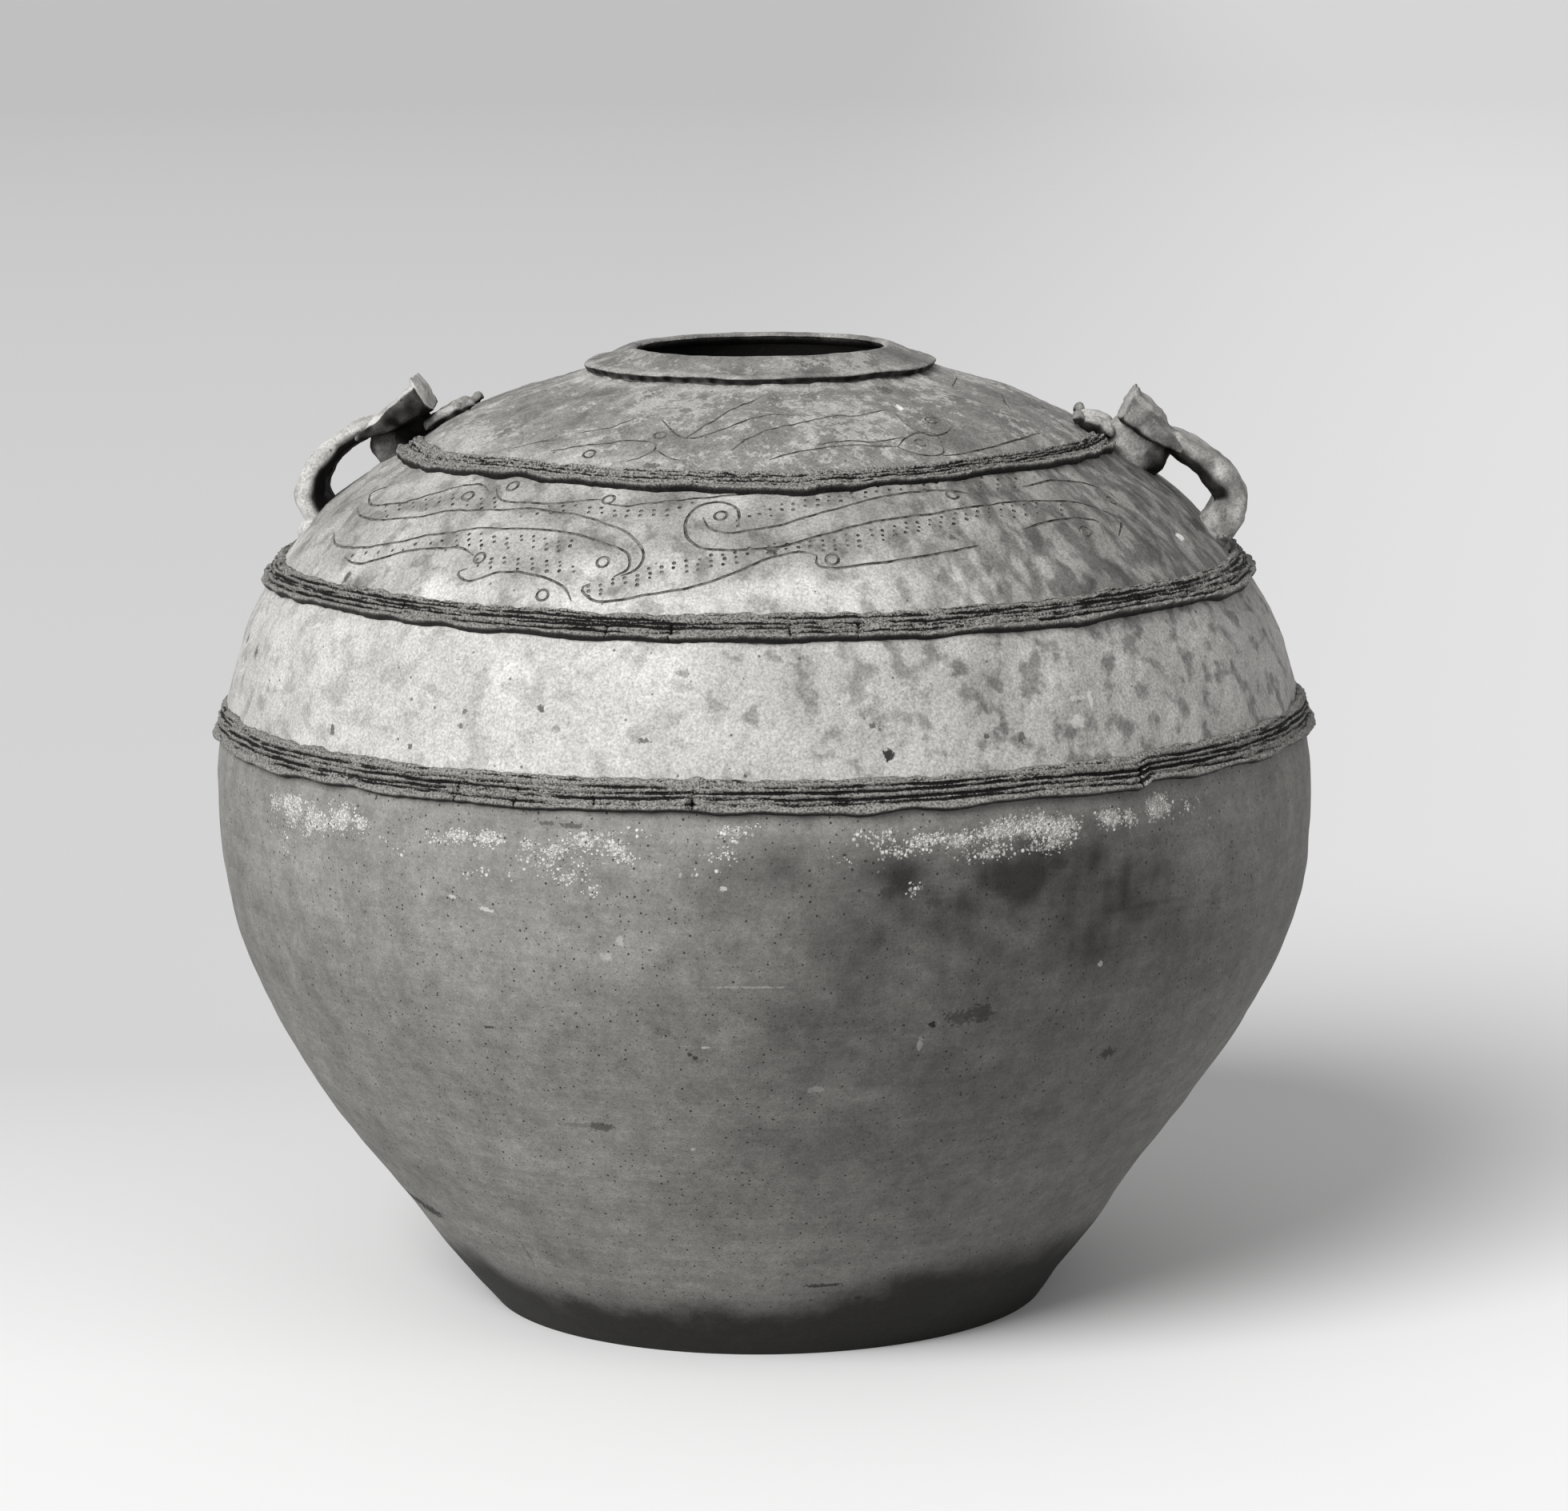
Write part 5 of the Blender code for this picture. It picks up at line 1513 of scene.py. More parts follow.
# Crusted patches and knobs of the cordons: pixel, half lengths around and up the wall, and strength
# or height
CRUSTED_PATCHES = (
    ((1480, 748), 0.03, 0.012, 0.9), ((1400, 765), 0.02, 0.012, 0.5), ((875, 1000), 0.008, 0.01, 0.6),
    ((430, 978), 0.014, 0.01, 0.7), ((520, 570), 0.02, 0.012, 0.8), ((1110, 790), 0.01, 0.01, 0.6),
    ((1560, 940), 0.02, 0.012, 0.5), ((820, 1008), 0.016, 0.01, 0.5), ((330, 950), 0.012, 0.01, 0.4),
    ((1300, 790), 0.03, 0.012, 0.5), ((1535, 742), 0.016, 0.012, 0.9), ((1220, 795), 0.016, 0.008, 0.4),
    ((1370, 566), 0.01, 0.008, 0.8), ((1300, 985), 0.014, 0.006, 0.5),
)
CORDON_KNOBS = (
    ((880, 1001), 0.0044, 0.0046, 0.002), ((856, 994), 0.0034, 0.0034, 0.0012),
    ((452, 985), 0.003, 0.004, 0.0006), ((1400, 985), 0.005, 0.0024, 0.0008),
    ((1520, 746), 0.006, 0.003, 0.0008),
)
# Combed grooves of each cordon: share of its width, and strength
LOWER_GROOVES = ((0.27, 0.75), (0.43, 1.0), (0.58, 1.0), (0.73, 0.95), (0.88, 0.55))
MIDDLE_GROOVES = ((0.27, 0.90), (0.43, 1.0), (0.58, 1.0), (0.73, 0.95), (0.88, 0.60))
UPPER_GROOVES = ((0.30, 0.55), (0.48, 1.0), (0.64, 0.80), (0.80, 0.75))
GROOVE_DEPTH = 0.00095
GROOVE_REACH = 0.00050
# How a groove wanders, as shares of the cordon's width, and how its strength varies
GROOVE_WANDERS = ((0.020, 0.050), (0.012, 0.010))
GROOVE_STRENGTH = 0.95
GROOVE_CHANGE = (0.22, 0.028)
GROOVE_LIMITS = (0.15, 1.1)
GROOVE_WIDENING = (0.85, 0.35)
GROOVE_SHARPNESS = 2.5
# A cordon follows the photographed edge; its own edges are ragged, in two sizes each
LOW_EDGE_SHARE = 0.85
HIGH_EDGE_SHARE = 0.5
CORDON_RAG = 0.00034
LOW_RAGS = ((0.9, 0.0120), (0.22, 0.0026))
HIGH_RAGS = ((0.6, 0.0030), (0.6, 0.012))
CORDON_ROLL = 0.0008
HIGH_EDGE_DROP = 0.0004
CORDON_LINING = (0.92, 0.64, 0.36, 0.08)
CORDON_SEATING = 0.0006
THINNEST = 0.00005
EDGE_ROUNDINGS = (0.08, 0.09)
CORDON_SWELL = 0.92
CORDON_SWELLS = ((0.10, 0.020), (0.06, 0.005))
GRAIN_HEIGHT = 0.00010
CRUST_HEIGHT = 0.00026
CRUST_GRAIN = 0.0016
CRUST_FILLS = 0.7
# Ends of an open cordon
END_ROUNDING = 0.0022
END_BREADTH = 0.72
END_HEIGHT = 0.40
END_CRUST = (0.8, 0.014, 0.010)
# Cracks lean a little, and reach up to a share of the width
CRACK_REACH = 0.00045
CRACK_LEAN = 0.15
CRACK_TOP = 0.74
CRACK_FADE = 0.2
CRACK_DEPTH_SHARE = 0.6
CRACK_NEAR_SHARE = 1.2


def edge_shift(pixels, nominal):
    """How far a cordon's lower edge lies from its nominal place, at any azimuth."""
    curve = wall_curve(pixels)
    order = np.argsort(curve[:, 0])
    angles, places = curve[order].T
    centre = (angles > FRONT - math.radians(78)) & (angles < FRONT + math.radians(78))
    angles, shifts = angles[centre], places[centre] - nominal
    angles = np.concatenate([angles, angles + math.pi])
    shifts = np.concatenate([shifts, shifts])
    return lambda where: np.interp(where, angles, shifts, period=2 * math.pi)


# Shares of the width over which the grooves fade in at the low edge and out at the high one, and over which
# the low edge rolls outward and the high edge drops
GROOVE_LOW_FADE = (0.03, 0.10)
GROOVE_HIGH_FADE = (0.01, 0.05)
ROLL_TOP = 0.30
ROLL_FADE = 0.2
HIGH_DROP_FROM = 0.75
# How dark the grooves, the crust, the right side and the high edge are; where painted shadow lies under the
# low edge, and where the high edge is bare dark clay
CRUST_GROOVE_LESS = 0.40
CRUST_DARK = 0.10
RIGHT_DARK = 0.10
RIGHT_DARK_FROM = (5.0, 45.0)
HIGH_EDGE_DARK = 0.16
HIGH_EDGE_FROM = (0.90, 0.98)
LOW_EDGE_SHADOW = 0.94
LOW_EDGE_SHADOW_TOP = 0.085
LOW_EDGE_SHADOW_FADE = 0.05
HIGH_BARED = 0.30
HIGH_BARED_FROM = 0.96
FEWEST_STEPS = 24


def combed_grooves(line, share, even_share, width, combed, seed):
    """Strength of the grooves; each wanders and varies along the strip."""
    grooves = np.zeros(len(line))
    for index, (groove_share, strength) in enumerate(combed):
        wander = rippled(line, GROOVE_WANDERS, (seed + 10 + index, seed + 20 + index))
        off = (even_share - groove_share - wander) * width
        vary = GROOVE_STRENGTH + rippled(line, (GROOVE_CHANGE,), (seed + 30 + index,))
        vary = np.clip(vary, *GROOVE_LIMITS)
        least, more = GROOVE_WIDENING
        reach = GROOVE_REACH * (least + more * vary)
        groove = np.exp(-np.abs(off / reach) ** GROOVE_SHARPNESS)
        grooves = np.maximum(grooves, strength * vary * groove)
    return grooves * rising(share, *GROOVE_LOW_FADE) * rising(1.0 - share, *GROOVE_HIGH_FADE)


def cordon_cracks(angles, places, share, joint, width):
    """Strength of the cracks that run up from the strip's lower edge."""
    crack = np.zeros(len(angles))
    for pixel in CRACK_PIXELS:
        angle, place = wall_spot(pixel)
        if abs(place - joint) > CRACK_NEAR_SHARE * width:
            continue
        for turn in (0.0, math.pi):
            lean = angle + turn + CRACK_LEAN * (places - joint) / BODY_RADIUS
            away = ((angles - lean + math.pi) % (2 * math.pi) - math.pi) * BODY_RADIUS
            open_share = bump(away, 0.0, CRACK_REACH) * rising(CRACK_TOP - share, 0.0, CRACK_FADE)
            crack = np.maximum(crack, open_share)
    return crack


def cordon(name, joint, width, thickness, combed, edge_pixels, seed, finish, start=0.0, sweep=2 * math.pi):
    """A combed strip over a joint: uneven ribs, a ragged rolled lower edge, crust, knobs and cracks."""
    shares = np.linspace(0.0, 1.0, CORDON_POINTS)
    spots = [(joint + (share - 0.5) * width, -thickness) for share in shares]
    spots += [(joint + (share - 0.5) * width, 0.0) for share in CORDON_LINING]
    steps = max(FEWEST_STEPS, int(CORDON_STEPS * sweep / (2 * math.pi)))
    strip = wall_turned(name, spots, steps, start, sweep)
    angles = azimuths(points_of(strip))
    places, depths = marked(strip, "place"), marked(strip, "depth")
    share = (places - joint) / width + 0.5
    outer = depths < -thickness / 2
    ring = BODY_RADIUS * np.column_stack([np.cos(angles), np.sin(angles)])
    line = np.column_stack([ring, joint * np.ones(len(angles))])
    shift = LOW_EDGE_SHARE * edge_shift(edge_pixels, joint - width / 2)(angles)
    low_smooth = joint - width / 2 + shift
    high_smooth = joint + width / 2 + HIGH_EDGE_SHARE * shift
    low = low_smooth + CORDON_RAG * rippled(line, LOW_RAGS, (seed, seed + 1))
    high = high_smooth + CORDON_RAG * rippled(line, HIGH_RAGS, (seed + 2, seed + 9))

    # Ends of an open strip are rounded off and lose their ribs
    end_distance = np.full(len(angles), 1.0)
    if sweep < 2 * math.pi:
        turn = (angles - start) % (2 * math.pi)
        turn = np.where(turn > math.pi + sweep / 2, 0.0, turn)
        end_distance = np.minimum(turn, np.abs(sweep - turn)) * on_wall(joint, 0.0)[0]
    taper = np.sqrt(np.clip(end_distance / END_ROUNDING, 0.0, 1.0))
    middle = (low + high) / 2
    breadth = END_BREADTH + (1 - END_BREADTH) * taper
    low = middle + (low - middle) * breadth
    high = middle + (high - middle) * breadth
    new_places = low + share * (high - low)
    even_share = (new_places - low_smooth) / (high_smooth - low_smooth)
    crust = spotted(angles, new_places, CRUSTED_PATCHES)
    strength, reach, fade = END_CRUST
    crust = np.maximum(crust, strength * rising(reach - end_distance, 0.0, fade))

    # Rolled, swollen and grooved height of the strip's face, with its crust, knobs and cracks
    grooves = combed_grooves(line, share, even_share, width, combed, seed)
    depth = 1.0 - CRUST_FILLS * crust
    low_rounding, high_rounding = EDGE_ROUNDINGS
    edge_height = np.minimum(share / low_rounding, (1.0 - share) / high_rounding)
    edge_height = np.sqrt(np.clip(edge_height, 0.0, 1.0))
    swell = CORDON_SWELL + rippled(line, CORDON_SWELLS, (seed + 3, seed + 4))
    roll = CORDON_ROLL * rising(ROLL_TOP - share, 0.0, ROLL_FADE)
    roll = roll - HIGH_EDGE_DROP * rising(share, HIGH_DROP_FROM, 1.0)
    height = (thickness * swell + roll) * edge_height - GROOVE_DEPTH * grooves * depth
    surface = np.column_stack([ring, new_places])
    height += (GRAIN_HEIGHT + CRUST_HEIGHT * crust) * ripple(surface, CRUST_GRAIN, seed + 8) * edge_height
    for pixel, along, across, most in CORDON_KNOBS:
        height += most * nearness(angles, new_places, wall_spot(pixel), along, across) * edge_height
    height *= END_HEIGHT + (1 - END_HEIGHT) * taper
    crack = cordon_cracks(angles, new_places, share, joint, width)
    height -= CRACK_DEPTH_SHARE * thickness * crack * edge_height
    new_depths = np.where(outer, -np.maximum(height, THINNEST), CORDON_SEATING)
    set_on_wall(strip, angles, new_places, new_depths)

    lateral = lateral_angles(angles)
    dark = grooves * (1.0 - CRUST_GROOVE_LESS * crust) + CRUST_DARK * crust
    dark += RIGHT_DARK * rising(lateral, *RIGHT_DARK_FROM) + HIGH_EDGE_DARK * rising(share, *HIGH_EDGE_FROM)
    dark = np.maximum(dark, crack)
    mark(strip, "groove", np.where(outer, dark, 1.0))
    # Painted shadow under the rolled low edge, and dark bare clay along the high edge
    under = np.maximum(LOW_EDGE_SHADOW * rising(LOW_EDGE_SHADOW_TOP - share, 0.0, LOW_EDGE_SHADOW_FADE),
                       HIGH_BARED * rising(share, HIGH_BARED_FROM, 1.0))
    mark(strip, "bare_and_shade", np.where(outer, under, 1.0))
    strip.data.materials.append(finish)
    smooth_shaded(strip, math.radians(60))
    return strip


UPPER_ARC = math.radians(85.5)


def build_cordons(finish):
    """Two whole cordons, and the upper one in a front and a back arc between the handles."""
    lower = cordon("lower_cordon_strip", LOWER_JOINT, LOWER_CORDON_WIDTH, LOWER_CORDON_THICKNESS,
                   LOWER_GROOVES, LOWER_CORDON_EDGE, 41, finish)
    finish_piece(lower, "ribbed_cordon_clay", "lower_cordon")
    middle = cordon("middle_cordon_strip", MIDDLE_JOINT, MIDDLE_CORDON_WIDTH, MIDDLE_CORDON_THICKNESS,
                    MIDDLE_GROOVES, MIDDLE_CORDON_EDGE, 51, finish)
    finish_piece(middle, "ribbed_cordon_clay", "middle_cordon")
    for name, facing, seed in (("front", FRONT, 61), ("back", -FRONT, 71)):
        arc = cordon("upper_cordon_arc_" + name, UPPER_JOINT, UPPER_CORDON_WIDTH, UPPER_CORDON_THICKNESS,
                     UPPER_GROOVES, UPPER_CORDON_EDGE, seed, finish, facing - UPPER_ARC, 2 * UPPER_ARC)
        finish_piece(arc, "ribbed_cordon_clay", "upper_cordon_" + name)


# Profile of the mouth, out from its edge and down from its height, and of the lip, in from its edge and up
# from its underside, in metres
MOUTH_PROFILE = ((0.0001, RIM_DEPTH), (0.0, 0.0012), (0.0007, 0.0002), (0.0022, 0.0), (0.0050, 0.0010))
LIP_PROFILE = (
    (0.0050, LIP_THICKNESS + 0.0011), (0.0008, LIP_THICKNESS + 0.0002), (0.0, LIP_THICKNESS - 0.0004),
    (0.0006, 0.0004), (0.0012, -0.0008),
)
COLLAR_CURVE_STEPS = 6
COLLAR_STEPS = 420
# Height and size of its unevenness: up and down at the lip, everywhere, and as a share of its radius
COLLAR_WARP = (0.00014, 0.05)
COLLAR_GRAIN = (0.00006, 0.004)
COLLAR_OVAL = (0.0009, 0.02)
COLLAR_SIDE_GRAIN = (0.0008, 0.004)
# Where the lip's outer side is painted dark as shade: from its edge, and below its top
LIP_FROM = (-0.0016, -0.0008)
LIP_SIDE_BELOW = 0.0003
LIP_SIDE_FADE = 0.0004
MOUTH_DARK_FROM = (0.0018, 0.0030)
BORE_DARK_FROM = (0.0004, 0.0008)
COLLAR_TONE = 0.11
COLLAR_RIGHT = (-10.0, 60.0)
COLLAR_RIGHT_LESS = 0.03
COLLAR_CHANGE = (0.06, 0.010)
RIM_LINE = (COLLAR_RADIUS - 0.0010, 0.0009)
RIM_LINE_MORE = 0.16
INNER_LINE = (MOUTH_RADIUS + 0.0006, 0.0008)
INNER_LINE_MORE = 0.05
COLLAR_MOTTLE = 0.35
COLLAR_WEATHERED = 0.8
# How dark the painted shade on the lip's side is, and how that varies
LIP_SIDE_SHADE = 0.90
LIP_SIDE_SHADE_CHANGE = (0.08, 0.0022)


def build_collar(glaze):
    """The flat collar, its sharp lip, and the spigot that hangs in the crown's hole."""
    crown_height = on_wall(CROWN_END, 0.0)[1]
    spigot_radius = on_wall(CROWN_END, WALL)[0] - SEAT_GAP
    mouth_height = crown_height + COLLAR_RISE
    under_lip = on_wall(place_at_radius(COLLAR_RADIUS), 0.0)[1] + LIP_LIFT
    seat_places = np.linspace(place_at_radius(COLLAR_RADIUS - LIP_UNDERCUT), CROWN_END, 6)
    seat = list(zip(*on_wall(seat_places, -0.0001 * np.ones(6))))
    foot = crown_height - SPIGOT_DEPTH
    top = [(MOUTH_RADIUS + out, mouth_height - down) for out, down in MOUTH_PROFILE]
    top += [(COLLAR_RADIUS - back, under_lip + up) for back, up in LIP_PROFILE]
    top = smooth_line(top, COLLAR_CURVE_STEPS)
    bore_radius = spigot_radius - SPIGOT_WALL
    bore = [(bore_radius, foot), (bore_radius, mouth_height - RIM_DEPTH - BORE_UNDERCUT),
            ((bore_radius + MOUTH_RADIUS) / 2, mouth_height - RIM_DEPTH - BORE_UNDERCUT / 2)]
    outline = bore + list(top) + seat + [(spigot_radius, seat[-1][1]), (spigot_radius, foot)]
    collar = turned("mouth_collar_ring", outline, COLLAR_STEPS)
    points = points_of(collar)
    angles = azimuths(points)
    ring = BODY_RADIUS * np.column_stack([np.cos(angles), np.sin(angles)])
    reach = np.hypot(points[:, 0], points[:, 1])
    outer = rising(reach, MOUTH_RADIUS + 0.002, COLLAR_RADIUS)
    lip_top = under_lip + LIP_THICKNESS - LIP_SIDE_BELOW
    # Painted shade on the lip's outer side
    side = rising(reach - COLLAR_RADIUS, *LIP_FROM) * rising(lip_top - points[:, 2], 0.0, LIP_SIDE_FADE)
    # The mouth and the bore are painted near black
    deep = rising(mouth_height - points[:, 2], *MOUTH_DARK_FROM)
    deep = deep * rising(spigot_radius - reach, *BORE_DARK_FROM)
    points[:, 2] += outer * rippled(ring, (COLLAR_WARP,), (81,)) + rippled(points, (COLLAR_GRAIN,), (83,))
    wider = outer * rippled(ring, (COLLAR_OVAL,), (82,)) + rippled(points, (COLLAR_SIDE_GRAIN,), (84,))
    points[:, :2] *= (1.0 + wider)[:, None]
    move_points(collar, sagged(points))
    mark_places(collar, np.column_stack([ring, reach]))
    lateral = lateral_angles(angles)
    tone = COLLAR_TONE - COLLAR_RIGHT_LESS * rising(lateral, *COLLAR_RIGHT)
    tone = tone + rippled(points, (COLLAR_CHANGE,), (85,))
    tone += RIM_LINE_MORE * bump(reach, *RIM_LINE) * (1 - side) + INNER_LINE_MORE * bump(reach, *INNER_LINE)
    bare_and_shade = (LIP_SIDE_SHADE + rippled(points, (LIP_SIDE_SHADE_CHANGE,), (86,))) * side
    mark(collar, "tone", np.clip(tone, 0.0, 1.0))
    mark(collar, "mottle", np.full(len(points), COLLAR_MOTTLE))
    mark(collar, "weathered", COLLAR_WEATHERED * (1 - side))
    mark(collar, "bare_and_shade", np.clip(np.maximum(bare_and_shade, deep), 0.0, 1.0))
    collar.data.materials.append(glaze)
    smooth_shaded(collar)
    finish_piece(collar, "ash_glazed_stoneware", "mouth_collar")


# Handle sizes, in metres. The centre lines of the straps and the mask plates follow the photograph, by
# their shares of the chord and of the loop's rise. The breadth shares are of the width and the thickness
LEFT_HANDLE_SPAN = 0.0500
RIGHT_HANDLE_SPAN = 0.0430
LEFT_FOOT_RISE = 0.0060
RIGHT_FOOT_RISE = 0.0010
LOOP_RISE = 0.0165
STRAP_WIDTH = 0.0300
PLATE_WIDTH = 0.0340
PLATE_THICKNESS = 0.0102
PAD_LENGTH = 0.0156
PAD_WIDTH = 0.0410
PAD_THICKNESS = 0.0032
BLOCK_WIDTH = 0.0200
HORN_SPACING = 0.0160
HORN_LENGTH = 0.0155
HORN_CURL = 0.0045
LEFT_STRAP_SHARES = (
    (0.05, -0.18), (0.06, 0.18), (0.08, 0.42), (0.14, 0.61), (0.21, 0.74), (0.29, 0.82), (0.4, 0.88),
    (0.54, 0.87), (0.72, 0.79),
)
RIGHT_STRAP_SHARES = (
    (-0.02, -0.12), (-0.04, 0.24), (-0.03, 0.5), (0.02, 0.71), (0.11, 0.84), (0.23, 0.9), (0.38, 0.91),
    (0.54, 0.88), (0.72, 0.82),
)
LEFT_PLATE_SHARES = ((0.56, 0.80), (0.69, 0.74), (0.82, 0.70), (0.95, 0.67), (1.04, 0.67), (1.09, 0.68))
RIGHT_PLATE_SHARES = ((0.56, 0.86), (0.69, 0.84), (0.82, 0.83), (0.95, 0.82), (1.07, 0.82), (1.15, 0.82))
STRAP_BREADTH_SHARES = ((1.10, 1.20), (1.02, 1.22), (0.96, 1.10), (0.93, 0.96), (0.90, 0.74))
PLATE_BREADTH_SHARES = ((0.80, 0.36), (0.90, 0.66), (0.96, 0.90), (1.00, 1.02), (0.92, 1.04), (0.66, 0.94))
# Rounded share at the end, rows and sides, and how soft the corners are
STRAP_FORM = (0.12, (80, 56), 0.55)
PLATE_FORM = (0.07, (84, 80), 0.50)
END_LEAST = 0.05
PLATE_SLANT = 0.0022
SLANT_FROM = 0.72
# Lumps and pimples of the clay: their sizes, and how high each piece's lumps stand, in metres
LUMP_SIZE = 0.0060
PIMPLE_SIZE = 0.0022
PIMPLE_SHARE = 0.40
STRAP_LUMPS = 0.00024
PLATE_LUMPS = 0.00026
BLOCK_LUMPS = 0.00040
PAD_LUMPS = 0.00045
HORN_LUMPS = 0.00024
# Strength and size of the patches in a handle's glaze and of ragged edges of its bare clay and painted
# shade
GLAZE_PATCHES = (0.10, 0.0045)
BARE_AND_SHADE_RAG = (0.16, 0.0030)
# The pad's clay reaches a little lower than its place, and is laid on thinner at its edge
PAD_RINGS = 14
PAD_STEPS = 56
PAD_SHIFT = 0.0016
PAD_SHRINK = 0.84
PAD_SINK = 0.0008
PAD_BULGE = 2.2
PAD_LEAST = 1e-4
BLOCK_RINGS = 21
BLOCK_STEPS = 40
BLOCK_CURVE_STEPS = 8
BLOCK_END_SHARE = 0.30
BLOCK_BULGE = 3
BLOCK_NARROWING = (0.66, 0.90)
BLOCK_HEAD = 0.9
BLOCK_TOP = 0.8
BLOCK_OUTLINE_SHARES = (
    (0.58, -0.15), (0.55, 0.16), (0.57, 0.48), (0.64, 0.92), (0.97, 0.88), (1.0, 0.4), (0.98, -0.3),
)


class Handle:
    """Places of one handle: its chord runs up the wall from its foot to its head."""

    def __init__(self, side, foot_rise, span):
        self.side = side
        self.foot_place = MIDDLE_JOINT + MIDDLE_CORDON_WIDTH / 2 + foot_rise + PAD_LENGTH / 2
        self.head_place = self.foot_place + span
        self.foot = np.array(on_wall(self.foot_place, 0.0))
        self.chord = np.array(on_wall(self.head_place, 0.0)) - self.foot
        along = self.chord / np.linalg.norm(self.chord)
        self.out = np.array([along[1], -along[0]])

    def spot(self, chord_share, rise_share):
        """Radius and height of a point given by its shares of the chord and of the loop's rise."""
        return self.foot + chord_share * self.chord + rise_share * LOOP_RISE * self.out

    def chord_share(self, spots):
        """How far along the chord points lie, given by radius and height."""
        return (spots - self.foot) @ self.chord / (self.chord @ self.chord)

    def point(self, spot, sideways):
        """Point in space of a radius and height on this handle's side."""
        return np.array((self.side * spot[0], sideways, spot[1]))


def section(sides, squareness):
    """Shares of half width and half thickness round a soft-cornered section."""
    ways = np.linspace(0.0, 2 * math.pi, sides, endpoint=False)
    across, through = np.cos(ways), np.sin(ways)
    return [np.sign(way) * np.abs(way) ** squareness for way in (across, through)]


def slab(name, handle, line_shares, breadth_shares, width, thickness, form, relief, slant=0.0):
    """A strap or plate along its line, with a relief on its upper face."""
    rounding, (rows, sides), squareness = form
    line = smooth_line([handle.spot(*share) for share in line_shares], CURVE_STEPS)
    knots = np.linspace(0.0, 1.0, len(breadth_shares))
    ways = np.linspace(0.0, 1.0, len(line))
    breadths = np.column_stack([np.interp(ways, knots, column) for column in np.transpose(breadth_shares)])
    both = resampled(np.column_stack([line, breadths]), rows)
    spine = both[:, :2]
    headings = np.gradient(spine, axis=0)
    headings /= np.linalg.norm(headings, axis=1)[:, None]
    out = np.column_stack([headings[:, 1], -headings[:, 0]])
    across, through = section(sides, squareness)
    share = np.linspace(0.0, 1.0, rows)[:, None] * np.ones(sides)
    across = across * np.ones((rows, 1))
    through = through * np.ones((rows, 1))
    past = np.clip(share - 1.0 + rounding, 0.0, None) / rounding
    closing = np.sqrt(np.clip(1.0 - past ** 2, END_LEAST, 1.0))
    lift = relief(share, across) * np.maximum(through, 0.0)
    rise = through * both[:, 3:4] * thickness / 2 * closing + lift * closing
    sideways = across * both[:, 2:3] * width / 2 * closing
    spots = spine[:, None, :] + rise[:, :, None] * out[:, None, :]
    setback = slant * (1.0 - through) / 2 * rising(share, SLANT_FROM, 1.0)
    spots -= setback[:, :, None] * headings[:, None, :]
    rings = np.stack([handle.side * spots[:, :, 0], sideways, spots[:, :, 1]], axis=2)
    return sleeve(name, rings, {"share": share, "across": across, "through": through})


def bump(values, centre, reach):
    """A round bump of unit height."""
    return np.exp(-((values - centre) / reach) ** 2)


STRAP_EDGE_HEIGHT = 0.0006
STRAP_EDGE = (0.84, 0.20)
MASK_DROP = 0.0012
CREST_REACH = (0.56, 0.96)
CREST_STEEPNESS = 1.2
# Folds of the crest: height, waves across, waves along, and where they start
FOLDS = (0.0006, 9.0, 7.0, (0.66, 0.82))
# Height, place along and its reach, place to either side and its reach
MASK_FEATURES = {
    "eyes": (0.0011, 0.52, 0.07, 0.48, 0.17),
    "pupils": (-0.0010, 0.52, 0.025, 0.48, 0.07),
    "brows": (0.0007, 0.66, 0.045, 0.52, 0.34),
    "muzzle": (0.0008, 0.28, 0.17, 0.0, 0.28),
    "cheeks": (0.0007, 0.22, 0.10, 0.66, 0.22),
}


def strap_relief(_, across):
    """Raised edges, the same all along the strap."""
    return STRAP_EDGE_HEIGHT * (bump(np.abs(across), *STRAP_EDGE) - 1.0)


def mask_relief(share, across, crest_height):
    """A generic animal mask: crest, brows, eyes and muzzle, looking down the strap."""
    relief = crest_height * rising(share, *CREST_REACH) ** CREST_STEEPNESS - MASK_DROP
    height, waves_across, waves_along, start = FOLDS
    relief += height * np.sin(waves_across * across + waves_along * share) * rising(share, *start)
    for height, along, along_reach, apart, apart_reach in MASK_FEATURES.values():
        relief += height * bump(share, along, along_reach) * bump(np.abs(across), apart, apart_reach)
    return relief


def finish_handle_piece(piece, name, label, glaze, seed, lump, tone, bare_and_shade=0.0, mottle=0.55, weathered=0.5):
    """Give a handle piece its lumps and its glaze, and hide the part it stands in for."""
    points = points_of(piece)
    broad = np.column_stack([ripple(points, LUMP_SIZE, seed + axis) for axis in range(3)])
    fine = np.column_stack([ripple(points, PIMPLE_SIZE, seed + 3 + axis) for axis in range(3)])
    move_points(piece, sagged(points + lump * broad + PIMPLE_SHARE * lump * fine))
    mark_places(piece, points)
    patchy = rippled(points, (GLAZE_PATCHES,), (seed + 6,))
    # Dark marks with ragged edges: painted shade, and some dark clay
    ragged = rippled(points, (BARE_AND_SHADE_RAG,), (seed + 7,))
    strength = np.broadcast_to(bare_and_shade, len(points))
    mark(piece, "tone", np.clip(tone + patchy, 0.0, 1.0))
    mark(piece, "mottle", np.full(len(points), mottle))
    mark(piece, "weathered", np.full(len(points), weathered))
    mark(piece, "bare_and_shade", np.clip(strength + ragged * 4 * strength * (1 - strength), 0.0, 1.0))
    piece.data.materials.append(glaze)
    smooth_shaded(piece, math.radians(70))
    finish_piece(piece, "ash_glazed_stoneware", label + "_" + name)
